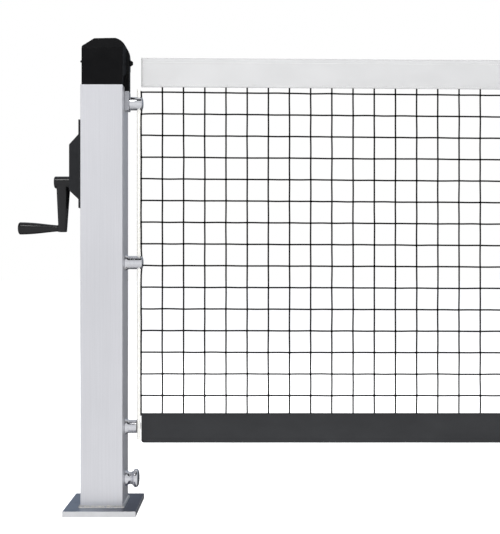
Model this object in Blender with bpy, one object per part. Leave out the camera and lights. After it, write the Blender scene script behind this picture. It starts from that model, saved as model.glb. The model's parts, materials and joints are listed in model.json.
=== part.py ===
"""A pickleball net post with its winch, and the end of the net laced to it.

World frame: origin on the ground under the middle of the post, +X towards the net,
+Y to the back of the post, +Z up. All lengths are in metres.
"""

import math

import bmesh
import bpy
from mathutils import Matrix, Vector

MM = 0.001

# ---- fits -------------------------------------------------------------------------
GAP = 0.3 * MM  # between faces that touch on the real post
RUNNING = 0.09 * MM  # radial clearance of a shaft in its bearing
ROUND = 24  # sides of a round piece
FINE = 32  # sides of a running bore, which keeps its flats clear of the shaft
THREAD_STEPS = 24  # steps of one turn of the worm, and sides of its shaft

# ---- foot and post ----------------------------------------------------------------
PLATE_SIDE = 144 * MM
PLATE_THICK = 11 * MM
POST_SIDE = 84 * MM
POST_WALL = 3 * MM
POST_CORNER = 1.5 * MM
POST_TOP = 852 * MM
WELD_LEG = 5.5 * MM

# ---- cap and pulley ---------------------------------------------------------------
CAP_HEIGHT = 98 * MM
CAP_CHAMFER_DROP = 25 * MM  # how far the front and back slopes come down from the top
CAP_CHAMFER_IN = 20 * MM
CAP_LEFT_DROP = 20 * MM
CAP_LEFT_IN = 24 * MM
CAP_LEFT_INSET = 2.2 * MM  # from the side of the post to the side of the cap
CAP_WALL = 4 * MM
NOSE_RADIUS = 40 * MM  # the round of the cap over the pulley
NOSE_REACH = 9.4 * MM  # how far the nose stands out from the post
NOSE_START = 25 * MM  # from the middle of the post to the start of the round
NOSE_HALF = 11 * MM
CHEEK_REACH = 5 * MM
CHEEK_HALF = 14 * MM
SPIGOT_DEPTH = 14 * MM
SPIGOT_SLACK = 0.5 * MM
TAB_DEPTH = 7 * MM
PULLEY_GROOVE = 20 * MM
PULLEY_RIM = 24 * MM
PULLEY_HALF = 4.5 * MM
PULLEY_BORE = 6.3 * MM
PULLEY_AXLE = 4 * MM
RIB_HALF = 6 * MM  # inner faces of the two ribs that hold the pulley
RIB_THICK = 4 * MM
CABLE_LINE = 51 * MM  # height of the headline above the top of the post
GUIDE_BORE = 2.6 * MM
GUIDE_NECK = 5 * MM
GUIDE_HEAD = 6.5 * MM
GUIDE_REACH = 6 * MM
CAP_SCREW_HEAD = 4.8 * MM
CAP_SCREW_UP = 4 * MM  # above the headline
CAP_SCREW_REACH = 9.4 * MM  # from the side of the cap to the tip of its head
BRACKET_THICK = 8.6 * MM
BRACKET_HALF = 13 * MM
BRACKET_FOOT = 46 * MM  # below the top of the post

# ---- winch ------------------------------------------------------------------------
WINCH_DOWN = 157 * MM  # from the top of the post to the middle of the flange
FLANGE_HEIGHT = 176 * MM
FLANGE_INSET = 3.5 * MM  # from the side of the post to the edge of the flange
FLANGE_THICK = 4.2 * MM
FLANGE_SCREW_IN = 8 * MM  # from the edges of the flange
SCREW_HEAD = 4.8 * MM
SCREW_SHANK = 2.5 * MM
SCREW_LENGTH = 14 * MM
HOUSING_DEPTH = 21 * MM
HOUSING_BASE_SPAN = (-71 * MM, 60 * MM)  # below and above the middle of the flange
HOUSING_FACE_SPAN = (-52 * MM, 40 * MM)
HOUSING_INSET = 5 * MM  # from the edge of the flange to the housing
HOUSING_TAPER = 9 * MM
HOUSING_WALL = 3 * MM
FRAME_PLATE = 3 * MM
FRAME_END = 5 * MM  # the plate that holds the inner bearing
FRAME_SIDE_ROOM = 6.8 * MM  # between the frame and the inside of the post
FRAME_FRONT_ROOM = 2.5 * MM
FRAME_HEIGHT = 119 * MM
CHEEK_SPAN = (-53 * MM, 27 * MM)  # below and above the middle of the flange
RIVET_RADIUS = 2.5 * MM
RIVET_TAIL = 4 * MM
UPPER_RIVET = 45 * MM  # above the middle of the flange
CRANK_DOWN = 34 * MM  # from the middle of the flange to the crank's axis
SHAFT_RADIUS = 6 * MM
SHAFT_TIP = 5 * MM
BUSH_WALL = 3 * MM
MODULE = 2 * MM  # tooth size of the worm and its wheel
WHEEL_TEETH = 21
WORM_PITCH_RADIUS = 9 * MM
WORM_TURNS = 4
TOOTH_HALF = 1.25 * MM  # half the thickness of a tooth, at the pitch line
ADDENDUM = 1.5 * MM
DEDENDUM = 2 * MM
FLANK = math.radians(20)
WHEEL_HALF = 4 * MM
DRUM_CORE = 12 * MM
DRUM_FLANGE = 18 * MM
DRUM_FLANGE_THICK = 2 * MM
DRUM_AXLE = 5 * MM
AXLE_HEAD = 8 * MM
AXLE_HEAD_THICK = 1.5 * MM
DRIVE_PIN = 2 * MM
DRIVE_PIN_OUT = 8.6 * MM

# ---- crank ------------------------------------------------------------------------
CRANK_RADIUS = 93.5 * MM
BOSS_RADIUS = 12.2 * MM
BOSS_LENGTH = 33.5 * MM
ARM_TOP = (14.4 * MM, 11 * MM)  # half width and half depth where the arm meets the boss
ARM_FOOT = (8.8 * MM, 8 * MM)
ARM_OUT = 17.5 * MM  # from the face of the housing to the middle of the arm
ARM_LEAN = 1.3 * MM  # of the top of the arm towards the post
ARM_BELOW_GRIP = 7.5 * MM
ARM_PAD = 7.2 * MM  # radius of the flat that the grip turns against
GRIP_SHOULDER = 1.1 * MM  # from the arm's foot to the grip, as the arm widens upwards
GRIP_LENGTH = 79.5 * MM
GRIP_NECK = 6.5 * MM
GRIP_END = 12.5 * MM
SPINDLE_RADIUS = 3.6 * MM
SPINDLE_HEAD = 4.6 * MM
SPINDLE_LENGTH = 70 * MM
SET_SCREW = 3 * MM

# ---- studs and rod ----------------------------------------------------------------
TOP_STUD_DOWN = 31 * MM  # below the top of the post
MIDDLE_STUD_DOWN = 109 * MM  # below the flange of the winch
BOTTOM_STUD_Z = 165 * MM
STUD_RADIUS = 13.4 * MM
STUD_COLLAR = 16.4 * MM
STUD_COLLAR_LENGTH = 5.5 * MM
STUD_REACH = 36 * MM  # from the side of the post to the tip
STUD_SHANK = 6 * MM
STUD_SHANK_DEPTH = 14 * MM
NUT_RADIUS = 10 * MM
NUT_THICK = 7 * MM
TIE_STUD_Z = 60 * MM
TIE_NECK = 12.2 * MM
TIE_HEAD = 18.5 * MM
TIE_NECK_LENGTH = 15.5 * MM
TIE_HEAD_LENGTH = 12 * MM
ROD_RADIUS = 3.5 * MM
ROD_FOOT = 138 * MM
ROD_TOP_DOWN = 2 * MM  # below the top of the post

# ---- net --------------------------------------------------------------------------
NET_OUT = 32.2 * MM  # from the side of the post to the first cord
NET_COLUMNS = 19
NET_COLUMN_PITCH = 43.1 * MM
NET_ROW_PITCH = 44.1 * MM
TOP_ROW_DOWN = 10 * MM  # from the headband to the first row
CORD = 2.6 * MM
TAPE_THICK = 4 * MM
HEADBAND_UP = (3 * MM, 62 * MM)  # above the top of the post
BOTTOM_BAND = (132 * MM, 191.7 * MM)
NET_DROOP = 7.5 * MM  # of the first row, at the free end of the net
HEADBAND_DROOP = 5 * MM

POST_HALF = POST_SIDE / 2
HEADBAND = tuple(POST_TOP + up for up in HEADBAND_UP)
NET_X = POST_HALF + NET_OUT
NET_TOP_ROW = HEADBAND[0] - TOP_ROW_DOWN
NET_ROWS = int((NET_TOP_ROW - BOTTOM_BAND[1]) / NET_ROW_PITCH) + 1
STUD_END = POST_HALF + STUD_REACH
ROD_SPAN = (ROD_FOOT, POST_TOP - ROD_TOP_DOWN)
WINCH_MID = POST_TOP - WINCH_DOWN
STUD_HEIGHTS = {
    "top": POST_TOP - TOP_STUD_DOWN,
    "middle": WINCH_MID - FLANGE_HEIGHT / 2 - MIDDLE_STUD_DOWN,
    "bottom": BOTTOM_STUD_Z,
}
RIVET_HEIGHTS = {"lower": RIVET_TAIL + GAP - FRAME_HEIGHT / 2, "upper": UPPER_RIVET}
CRANK_Z = WINCH_MID - CRANK_DOWN
FLANGE_HALF = POST_HALF - FLANGE_INSET
HOUSING_BASE_HALF = FLANGE_HALF - HOUSING_INSET
FRAME_HALF = POST_HALF - POST_WALL - FRAME_SIDE_ROOM
FRAME_FRONT = POST_HALF - POST_WALL - FRAME_FRONT_ROOM
FRAME_BEARING = FRAME_FRONT - FRAME_END
WHEEL_X = (-POST_HALF + FRAME_PLATE + FRAME_BEARING) / 2
NET_END = NET_X + (NET_COLUMNS - 1) * NET_COLUMN_PITCH
ROD_X = NET_X - CORD / 2 - GAP - ROD_RADIUS
FLANGE_FACE = -POST_HALF - GAP - FLANGE_THICK
HOUSING_OUT = FLANGE_FACE - GAP - HOUSING_DEPTH
WORM_LEAD = math.pi * MODULE
WHEEL_RADIUS = MODULE * WHEEL_TEETH / 2
DRUM_Z = CRANK_Z + WORM_PITCH_RADIUS + WHEEL_RADIUS
CAP_BASE = POST_TOP + GAP
CAP_LEFT = CAP_LEFT_INSET - POST_HALF
CAP_TOP = POST_TOP + CAP_HEIGHT
NOSE_X = POST_HALF + NOSE_REACH
CABLE_Z = POST_TOP + CABLE_LINE
PULLEY_Z = CABLE_Z - PULLEY_GROOVE
CAP_SCREW_Z = CABLE_Z + CAP_SCREW_UP
PULLEY_X = WHEEL_X - DRUM_CORE + PULLEY_GROOVE
ARM_X = HOUSING_OUT - ARM_OUT
GRIP_Z = CRANK_Z - CRANK_RADIUS
GRIP_X = ARM_X - ARM_FOOT[0] - GRIP_SHOULDER

AXES = {
    "+X": Matrix.Rotation(math.pi / 2, 3, "Y"),
    "-X": Matrix.Rotation(-math.pi / 2, 3, "Y"),
    "+Y": Matrix.Rotation(-math.pi / 2, 3, "X"),
    "+Z": Matrix.Identity(3),
}


# ---- helpers ----------------------------------------------------------------------
def clear_scene():
    for obj in list(bpy.data.objects):
        bpy.data.objects.remove(obj, do_unlink=True)


def material(name, colour, roughness, metallic=0.0):
    made = bpy.data.materials.new(name)
    made.use_nodes = True
    shader = made.node_tree.nodes["Principled BSDF"]
    shader.inputs["Base Color"].default_value = (*colour, 1)
    shader.inputs["Roughness"].default_value = roughness
    shader.inputs["Metallic"].default_value = metallic
    return made


def finished(bm, name, finish, parent=None):
    """Turns a bmesh into a named object, shaded smooth up to sharp edges."""
    bmesh.ops.recalc_face_normals(bm, faces=bm.faces)
    mesh = bpy.data.meshes.new(name)
    bm.to_mesh(mesh)
    bm.free()
    mesh.shade_smooth()
    mesh.set_sharp_from_angle(angle=math.radians(30))
    obj = bpy.data.objects.new(name, mesh)
    bpy.context.scene.collection.objects.link(obj)
    if finish:
        mesh.materials.append(finish)
    else:
        guide(obj)
    obj.parent = parent
    return obj


def frustum(name, low, high, low_z, high_z, finish=None):
    """Four-sided solid between two rectangles, each (x0, x1, y0, y1), at two heights."""
    bm = bmesh.new()
    rings = []
    for (x0, x1, y0, y1), z in ((low, low_z), (high, high_z)):
        corners = ((x0, y0), (x1, y0), (x1, y1), (x0, y1))
        rings.append([bm.verts.new((x, y, z)) for x, y in corners])
    bridge(bm, rings)
    return finished(bm, name, finish)


def box(name, x, y, z, finish=None):
    return frustum(name, (*x, *y), (*x, *y), *z, finish)


def bridge(bm, rings):
    """Joins rings of equal length into a closed tube with flat ends."""
    for lower, upper in zip(rings, rings[1:]):
        for i in range(len(lower)):
            j = (i + 1) % len(lower)
            bm.faces.new((lower[i], lower[j], upper[j], upper[i]))
    bm.faces.new(list(reversed(rings[0])))
    bm.faces.new(rings[-1])


def prism(name, outline, axis, span, finish=None):
    """Extrudes an outline of 2-D points along X, Y or Z. The points hold the other two axes in order."""
    bm = bmesh.new()
    place = {
        "X": lambda p, d: (d, p[0], p[1]),
        "Y": lambda p, d: (p[0], d, p[1]),
        "Z": lambda p, d: (p[0], p[1], d),
    }[axis]
    bridge(bm, [[bm.verts.new(place(p, d)) for p in outline] for d in span])
    return finished(bm, name, finish)


def turned(name, profile, centre, direction, finish=None, parent=None, sides=ROUND):
    """Turns (radius, distance) points about an axis. Both ends close on the axis."""
    bm = bmesh.new()
    rings = []
    for radius, along in profile:
        turn = (2 * math.pi * i / sides for i in range(sides))
        rings.append([bm.verts.new((radius * math.cos(a), radius * math.sin(a), along)) for a in turn])
    bridge(bm, rings)
    bmesh.ops.rotate(bm, verts=bm.verts, cent=(0, 0, 0), matrix=AXES[direction])
    obj = finished(bm, name, finish, parent)
    obj.location = Vector(centre) - (parent.location if parent else Vector())
    return obj


def rod(name, radius, centre, direction, span, finish=None, parent=None, sides=ROUND):
    return turned(name, ((radius, span[0]), (radius, span[1])), centre, direction, finish, parent, sides)


def boolean(obj, other, operation="DIFFERENCE"):
    modifier = obj.modifiers.new(operation.lower(), "BOOLEAN")
    modifier.operation = operation
    modifier.object = other
    modifier.solver = "MANIFOLD"
    return obj


def guide(obj):
    """Hides a helper that another object's Boolean reads."""
    obj.hide_render = True
    obj.display_type = "WIRE"
    return obj


def cut(obj, *cutters):
    for cutter in cutters:
        boolean(obj, guide(cutter))
    return obj


def joined(obj, *others):
    for other in others:
        boolean(obj, guide(other), "UNION")
    return obj


def axis_empty(name, location):
    empty = bpy.data.objects.new(name, None)
    empty.location = location
    bpy.context.scene.collection.objects.link(empty)
    return empty


def rounded_square(half, radius, steps=4):
    """Outline of a square with round corners, anticlockwise."""
    points = []
    for quarter in range(4):
        middle = Matrix.Rotation(quarter * math.pi / 2, 2) @ Vector((half - radius, half - radius))
        for step in range(steps + 1):
            angle = (quarter + step / steps) * math.pi / 2
            points.append((middle.x + radius * math.cos(angle), middle.y + radius * math.sin(angle)))
    return points


def square(half):
    return ((-half, half), (-half, half))


# ---- foot and post ----------------------------------------------------------------
def make_foot():
    half = PLATE_SIDE / 2
    box("base_plate", *square(half), (0, PLATE_THICK), STEEL)
    low = POST_HALF + GAP + WELD_LEG
    high = POST_HALF + GAP + 1 * MM
    floor = PLATE_THICK + GAP
    weld = frustum("foot_weld", (-low, low, -low, low), (-high, high, -high, high), floor, floor + WELD_LEG, WELD)
    cut(weld, box("weld_bore", *square(POST_HALF + GAP), (0, floor + 2 * WELD_LEG)))


def stud_holes():
    for height in (*STUD_HEIGHTS.values(), TIE_STUD_Z):
        yield rod("stud_hole", STUD_SHANK + GAP, (0, 0, height), "+X", (POST_HALF - 3 * POST_WALL, POST_SIDE))


def flange_screw_places():
    up = FLANGE_HEIGHT / 2 - FLANGE_SCREW_IN
    out = FLANGE_HALF - FLANGE_SCREW_IN
    for height in (WINCH_MID - up, WINCH_MID + up):
        yield -out, height
        yield out, height


def make_post():
    floor = PLATE_THICK + GAP
    tube = prism("post_tube", rounded_square(POST_HALF, POST_CORNER), "Z", (floor, POST_TOP), SILVER)
    bore = box("post_bore", *square(POST_HALF - POST_WALL), (floor - PLATE_THICK, POST_TOP + PLATE_THICK))
    out = (-POST_SIDE, -POST_HALF + 2 * POST_WALL)
    side = FRAME_HALF + GAP
    up = FRAME_HEIGHT / 2 + GAP
    window = box("winch_window", out, (-side, side), (WINCH_MID - up, WINCH_MID + up))
    cut(tube, bore, window, *stud_holes())
    for y, z in flange_screw_places():
        cut(tube, rod("screw_hole", SCREW_SHANK + GAP, (0, y, z), "-X", (POST_HALF - 2 * POST_WALL, POST_SIDE)))


# ---- cap --------------------------------------------------------------------------
def nose_arc():
    """Side view of the cap's top from the flat to the nose, as (x, z) points."""
    centre_x = NOSE_X - NOSE_RADIUS
    start = math.acos((NOSE_START - centre_x) / NOSE_RADIUS)
    centre_z = CAP_TOP - NOSE_RADIUS * math.sin(start)
    steps = 14
    for step in range(steps + 1):
        angle = start * (1 - step / steps)
        yield centre_x + NOSE_RADIUS * math.cos(angle), centre_z + NOSE_RADIUS * math.sin(angle)


def cap_shell():
    """The outside of the cap: its side, front and plan outlines, each extruded, in common."""
    cheek_low = CAP_BASE + 16 * MM
    side = [
        (CAP_LEFT, CAP_BASE),
        (POST_HALF, CAP_BASE),
        (POST_HALF, cheek_low),
        (NOSE_X, cheek_low + 20 * MM),
        *reversed(list(nose_arc())),
        (-POST_HALF + CAP_LEFT_IN, CAP_TOP - 1 * MM),
        (CAP_LEFT, CAP_TOP - CAP_LEFT_DROP),
    ]
    slope = POST_HALF - CAP_CHAMFER_IN
    shoulder = CAP_TOP - CAP_CHAMFER_DROP
    roof = CAP_TOP + PLATE_THICK
    ridge = slope - CAP_CHAMFER_IN * PLATE_THICK / CAP_CHAMFER_DROP
    front = ((-POST_HALF, 0), (POST_HALF, 0), (POST_HALF, shoulder), (ridge, roof), (-ridge, roof), (-POST_HALF, shoulder))
    half = [(NOSE_X, NOSE_HALF), (POST_HALF + CHEEK_REACH, CHEEK_HALF), (POST_HALF, POST_HALF), (-POST_HALF, POST_HALF)]
    plan = [*half, *((x, -y) for x, y in reversed(half))]
    cap = prism("cap_body", side, "Y", (-POST_HALF, POST_HALF), BLACK_PLASTIC)
    boolean(cap, guide(prism("cap_front", front, "X", (-POST_SIDE, POST_SIDE))), "INTERSECT")
    boolean(cap, guide(prism("cap_plan", plan, "Z", (0, CAP_TOP + PLATE_THICK))), "INTERSECT")
    return cap


def make_cap():
    cap = cap_shell()
    spigot = POST_HALF - POST_WALL - SPIGOT_SLACK
    inside = spigot - CAP_WALL
    foot = CAP_BASE - SPIGOT_DEPTH
    roof = CAP_TOP - CAP_LEFT_DROP - 3 * CAP_WALL
    joined(cap, box("cap_spigot", *square(spigot), (foot, CAP_BASE + CAP_WALL)))
    tab = (POST_HALF + GAP, NOSE_X - 0.4 * MM)
    joined(cap, box("cap_tab", tab, (-NOSE_HALF, NOSE_HALF), (POST_TOP - TAB_DEPTH, CAP_BASE + 40 * MM)))
    low = foot - CAP_WALL
    rib = RIB_HALF + RIB_THICK
    cut(cap, box("cap_hollow_front", (-inside, inside), (-inside, -rib), (low, roof)))
    cut(cap, box("cap_hollow_back", (-inside, inside), (rib, inside), (low, roof)))
    reach = PULLEY_RIM + 3 * MM
    pocket = (PULLEY_X - reach, PULLEY_X + reach)
    cut(cap, box("pulley_pocket", pocket, (-RIB_HALF, RIB_HALF), (low, PULLEY_Z + reach)))
    cut(cap, rod("pulley_axle_hole", PULLEY_AXLE + GAP, (PULLEY_X, 0, PULLEY_Z), "+Y", (-rib - GAP, rib + GAP)))
    cut(cap, rod("guide_hole", GUIDE_NECK + GAP, (0, 0, CABLE_Z), "+X", (PULLEY_X, NOSE_X + GAP)))
    cut(cap, rod("cap_screw_hole", SCREW_SHANK + GAP, (0, 0, CAP_SCREW_Z), "-X", (POST_HALF - 9 * MM, POST_SIDE)))


def make_cap_fittings():
    """The screw on the winch side and the cable guide on the net side."""
    face = GAP - CAP_LEFT
    screw = (
        (SCREW_SHANK, POST_HALF - 8 * MM),
        (SCREW_SHANK, face),
        (CAP_SCREW_HEAD, face),
        (CAP_SCREW_HEAD, face + 1.6 * MM),
        (CAP_SCREW_HEAD * 0.35, face + CAP_SCREW_REACH),
    )
    turned("cap_screw", screw, (0, 0, CAP_SCREW_Z), "-X", BLACK_PLASTIC)
    inner = PULLEY_X + PULLEY_RIM + 2.6 * MM
    shape = (
        (GUIDE_NECK, inner),
        (GUIDE_NECK, NOSE_X + GAP),
        (GUIDE_HEAD, NOSE_X + GAP),
        (GUIDE_HEAD, NOSE_X + 1 * MM),
        (GUIDE_BORE + 0.6 * MM, NOSE_X + GUIDE_REACH),
    )
    bush = turned("cable_guide", shape, (0, 0, CABLE_Z), "+X", BLACK_PLASTIC)
    cut(bush, rod("guide_bore", GUIDE_BORE, (0, 0, CABLE_Z), "+X", (0, NOSE_X + 2 * GUIDE_REACH)))


def make_pulley():
    """The grooved wheel that turns the headline down into the post. Its parent is on its axis."""
    centre = Vector((PULLEY_X, 0, PULLEY_Z))
    hub = axis_empty("pulley_axis", centre)
    rim, groove = PULLEY_RIM, PULLEY_GROOVE
    lip = PULLEY_HALF - 1 * MM
    shape = ((rim, -PULLEY_HALF), (rim, -lip), (groove, -1.5 * MM), (groove, 1.5 * MM), (rim, lip), (rim, PULLEY_HALF))
    wheel = turned("pulley_wheel", shape, centre, "+Y", WHITE_NYLON, hub)
    cut(wheel, rod("pulley_bore", PULLEY_BORE, centre, "+Y", (-POST_HALF, POST_HALF)))
    bush = rod("pulley_bush", PULLEY_BORE - GAP, centre, "+Y", (-RIB_HALF + GAP, RIB_HALF - GAP), BRONZE, hub)
    cut(bush, rod("pulley_bush_bore", PULLEY_AXLE + RUNNING, centre, "+Y", (-POST_HALF, POST_HALF), sides=FINE))
    reach = RIB_HALF + RIB_THICK + 2 * MM
    rod("pulley_axle", PULLEY_AXLE, centre, "+Y", (-reach, reach), STEEL, sides=FINE)


def make_head_bracket():
    """The block that stands the top stud off and backs the tab of the cap."""
    x = (POST_HALF + GAP, POST_HALF + GAP + BRACKET_THICK)
    z = (POST_TOP - BRACKET_FOOT, POST_TOP - TAB_DEPTH - GAP)
    block = box("head_bracket", x, (-BRACKET_HALF, BRACKET_HALF), z, SILVER)
    cut(block, rod("bracket_hole", STUD_SHANK + GAP, (0, 0, STUD_HEIGHTS["top"]), "+X", (0, POST_SIDE)))


# ---- winch ------------------------------------------------------------------------
def countersunk(name, centre, finish=None, slack=0.0, length=SCREW_LENGTH):
    """A flat-headed screw, or with slack the hole for it. It points into the post from the flange's face."""
    head, shank = SCREW_HEAD + slack, SCREW_SHANK + slack
    proud = FLANGE_THICK if slack else 0
    shape = [(shank, -length), (shank, -(head - shank) - slack), (head, -slack), (head, proud)]
    if not slack:
        shape = shape[:2] + [(head, 0)]
    return turned(name, shape, centre, "-X", finish)


def make_flange():
    z = (WINCH_MID - FLANGE_HEIGHT / 2, WINCH_MID + FLANGE_HEIGHT / 2)
    plate = box("winch_flange", (FLANGE_FACE, -POST_HALF - GAP), (-FLANGE_HALF, FLANGE_HALF), z, BLACK_STEEL)
    cut(plate, rod("flange_bush_hole", SHAFT_RADIUS + BUSH_WALL + GAP, (0, 0, CRANK_Z), "-X", (0, POST_SIDE)))
    for number, (y, z) in enumerate(flange_screw_places(), 1):
        centre = (FLANGE_FACE, y, z)
        cut(plate, countersunk("countersink", centre, slack=GAP))
        countersunk(f"flange_screw_{number}", centre, STEEL)
    for word, up in RIVET_HEIGHTS.items():
        centre = (0, 0, WINCH_MID + up)
        cut(plate, rod("rivet_hole", RIVET_RADIUS + GAP, centre, "-X", (0, POST_SIDE), sides=16))
        make_rivet(f"frame_rivet_{word}", centre)


def make_rivet(name, centre):
    tail = POST_HALF - FRAME_PLATE - GAP
    face = -FLANGE_FACE + GAP
    head = 2 * RIVET_RADIUS
    shape = (
        (RIVET_TAIL, tail - 1.5 * MM),
        (RIVET_TAIL, tail),
        (RIVET_RADIUS, tail),
        (RIVET_RADIUS, face),
        (head, face),
        (head * 0.6, face + 2 * MM),
    )
    turned(name, shape, centre, "-X", STEEL, sides=16)


def make_housing():
    """The black cover over the outer end of the worm shaft, open towards the post."""
    base_x = FLANGE_FACE - GAP
    shell = sloped_box("winch_housing", base_x, HOUSING_OUT, 0, BLACK_STEEL)
    cavity = sloped_box("housing_cavity", base_x + PLATE_THICK, HOUSING_OUT + HOUSING_WALL, HOUSING_WALL)
    bore = rod("housing_bore", SHAFT_RADIUS + 1 * MM, (0, 0, CRANK_Z), "-X", (POST_HALF, POST_SIDE))
    cut(shell, cavity, bore)


def sloped_box(name, base_x, face_x, inset, finish=None):
    """A box with four sloping sides, narrower towards -X. Its slopes are those of the housing."""
    bm = bmesh.new()
    rings = []
    for x in (base_x, face_x):
        share = (FLANGE_FACE - GAP - x) / HOUSING_DEPTH
        half = HOUSING_BASE_HALF - share * HOUSING_TAPER - inset
        low, high = (WINCH_MID + b + share * (f - b) for b, f in zip(HOUSING_BASE_SPAN, HOUSING_FACE_SPAN))
        low, high = low + inset, high - inset
        rings.append([bm.verts.new((x, y, z)) for y, z in ((-half, low), (half, low), (half, high), (-half, high))])
    bridge(bm, rings)
    return finished(bm, name, finish)


def make_winch_frame():
    """The riveted frame inside the post: a back plate, two cheeks and an end plate, in one piece."""
    outer = -POST_HALF
    side = (-FRAME_HALF, FRAME_HALF)
    z = tuple(WINCH_MID + up for up in CHEEK_SPAN)
    up = FRAME_HEIGHT / 2
    frame = box("winch_frame", (outer, outer + FRAME_PLATE), side, (WINCH_MID - up, WINCH_MID + up), STEEL)
    joined(frame, box("frame_loop", (outer + 0.5 * MM, FRAME_FRONT), side, z))
    between = (-FRAME_HALF + FRAME_PLATE, FRAME_HALF - FRAME_PLATE)
    cut(frame, box("frame_inside", (outer + FRAME_PLATE, FRAME_BEARING), between, (0, POST_TOP)))
    cut(frame, rod("frame_bush_hole", SHAFT_RADIUS + BUSH_WALL + GAP, (0, 0, CRANK_Z), "-X", (0, POST_SIDE)))
    cut(frame, rod("frame_tip_hole", SHAFT_TIP + BUSH_WALL + GAP, (0, 0, CRANK_Z), "+X", (0, POST_SIDE)))
    cut(frame, rod("frame_axle_hole", DRUM_AXLE + GAP, (WHEEL_X, 0, DRUM_Z), "+Y", (-POST_HALF, POST_HALF)))
    for up in RIVET_HEIGHTS.values():
        cut(frame, rod("frame_rivet_hole", RIVET_RADIUS + GAP, (0, 0, WINCH_MID + up), "-X", (0, POST_SIDE)))


def make_worm_bushes():
    centre = (0, 0, CRANK_Z)
    wall = (POST_HALF - FRAME_PLATE, -FLANGE_FACE)
    outer = rod("worm_bush_outer", SHAFT_RADIUS + BUSH_WALL, centre, "-X", wall, BRONZE)
    cut(outer, rod("outer_bush_bore", SHAFT_RADIUS + RUNNING, centre, "-X", (0, POST_SIDE), sides=FINE))
    ends = (FRAME_BEARING, FRAME_FRONT)
    inner = rod("worm_bush_inner", SHAFT_TIP + BUSH_WALL, centre, "+X", ends, BRONZE)
    cut(inner, rod("inner_bush_bore", SHAFT_TIP + RUNNING, centre, "+X", (0, POST_SIDE), sides=FINE))


def worm_levels(bm, first):
    """The corners of the thread, wound round the shaft. first is its middle where the angle is 0.

    Each level is one corner of the trapezoid section, so a turn adds four of them. Level m at a
    full turn is level m + 4 at no turn, which is what makes the surface one helix.
    """
    root, crest = WORM_PITCH_RADIUS - DEDENDUM, WORM_PITCH_RADIUS + ADDENDUM
    wide = TOOTH_HALF + DEDENDUM * math.tan(FLANK)
    narrow = TOOTH_HALF - ADDENDUM * math.tan(FLANK)
    section = ((-wide, root), (-narrow, crest), (narrow, crest), (wide, root))
    last = 4 * WORM_TURNS
    levels = []
    for level in range(last + 5):
        turn, corner = divmod(level, 4)
        along, radius = section[corner]
        count = THREAD_STEPS if level <= last else 1
        x = first + turn * WORM_LEAD + along
        levels.append([shaft_point(bm, x + WORM_LEAD * k / THREAD_STEPS, radius, k) for k in range(count)])
    for level, later in zip(levels, levels[4:]):
        if len(level) > 1:
            level.append(later[0])
    return levels


def shaft_point(bm, x, radius, step):
    angle = 2 * math.pi * step / THREAD_STEPS
    return bm.verts.new((x, radius * math.cos(angle), radius * math.sin(angle)))


def shaft_rings(bm, shape):
    return [[shaft_point(bm, x, radius, k) for k in range(THREAD_STEPS)] for radius, x in shape]


def bridge_open(bm, rings):
    """Joins rings side by side, as bridge does, and leaves the ends open."""
    for lower, upper in zip(rings, rings[1:]):
        for i in range(THREAD_STEPS):
            j = (i + 1) % THREAD_STEPS
            bm.faces.new((lower[i], lower[j], upper[j], upper[i]))


def wind_thread(bm, levels, before, after):
    """Skins the thread and closes it on the plain ring at either end, with its two end faces."""
    last = 4 * WORM_TURNS
    for lower, upper in zip(levels[:last], levels[1 : last + 1]):
        for k in range(THREAD_STEPS):
            bm.faces.new((lower[k], lower[k + 1], upper[k + 1], upper[k]))
    steps = THREAD_STEPS
    for k in range(steps - 1):
        bm.faces.new((before[k], before[k + 1], levels[0][k + 1], levels[0][k]))
    for k in range(1, steps):
        bm.faces.new((levels[last][k], levels[last][k + 1], after[(k + 1) % steps], after[k]))
    start = [levels[i][0] for i in range(5)]
    end = [levels[last + i][0] for i in range(5)]
    bm.faces.new((before[-1], before[0], start[0], start[3], start[4], levels[0][steps - 1]))
    bm.faces.new((end[0], levels[last][1], after[1], after[0], end[4], end[3]))
    bm.faces.new(start[:4])
    bm.faces.new(end[:4])


def make_worm(crank):
    """The shaft from the crank's boss to the inner bearing, with the worm cut on it.

    A gap of the thread is over the middle of the wheel, so the two are in mesh at rest.
    """
    root = WORM_PITCH_RADIUS - DEDENDUM
    outer = HOUSING_OUT - BOSS_LENGTH + 5 * MM
    first = WHEEL_X + WORM_LEAD / 4 - WORM_LEAD * WORM_TURNS / 2
    low = first - 3 * MM
    high = first + (WORM_TURNS + 1) * WORM_LEAD - 1 * MM
    bm = bmesh.new()
    before = shaft_rings(bm, ((SHAFT_RADIUS, outer), (SHAFT_RADIUS, low), (root, low)))
    shoulder = FRAME_BEARING - 1 * MM
    collar = ((root, high), (SHAFT_RADIUS, high), (SHAFT_RADIUS, shoulder))
    after = shaft_rings(bm, (*collar, (SHAFT_TIP, shoulder), (SHAFT_TIP, FRAME_FRONT + 1 * MM)))
    bridge_open(bm, before)
    bridge_open(bm, after)
    bm.faces.new(before[0])
    bm.faces.new(after[-1])
    wind_thread(bm, worm_levels(bm, first), before[-1], after[0])
    shaft = finished(bm, "worm_shaft", STEEL, crank)
    shaft.location = Vector((0, 0, CRANK_Z)) - crank.location


def gear_outline():
    """(angle, radius) points round the worm wheel, with a tooth centred straight down."""
    crest = WHEEL_RADIUS + ADDENDUM - 0.1 * MM
    root = WHEEL_RADIUS - DEDENDUM - 0.4 * MM
    narrow = (TOOTH_HALF - ADDENDUM * math.tan(FLANK)) / crest
    wide = (TOOTH_HALF + DEDENDUM * math.tan(FLANK)) / root
    for tooth in range(WHEEL_TEETH):
        middle = -math.pi / 2 + tooth * 2 * math.pi / WHEEL_TEETH
        yield from ((middle - wide, root), (middle - narrow, crest), (middle + narrow, crest), (middle + wide, root))


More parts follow.
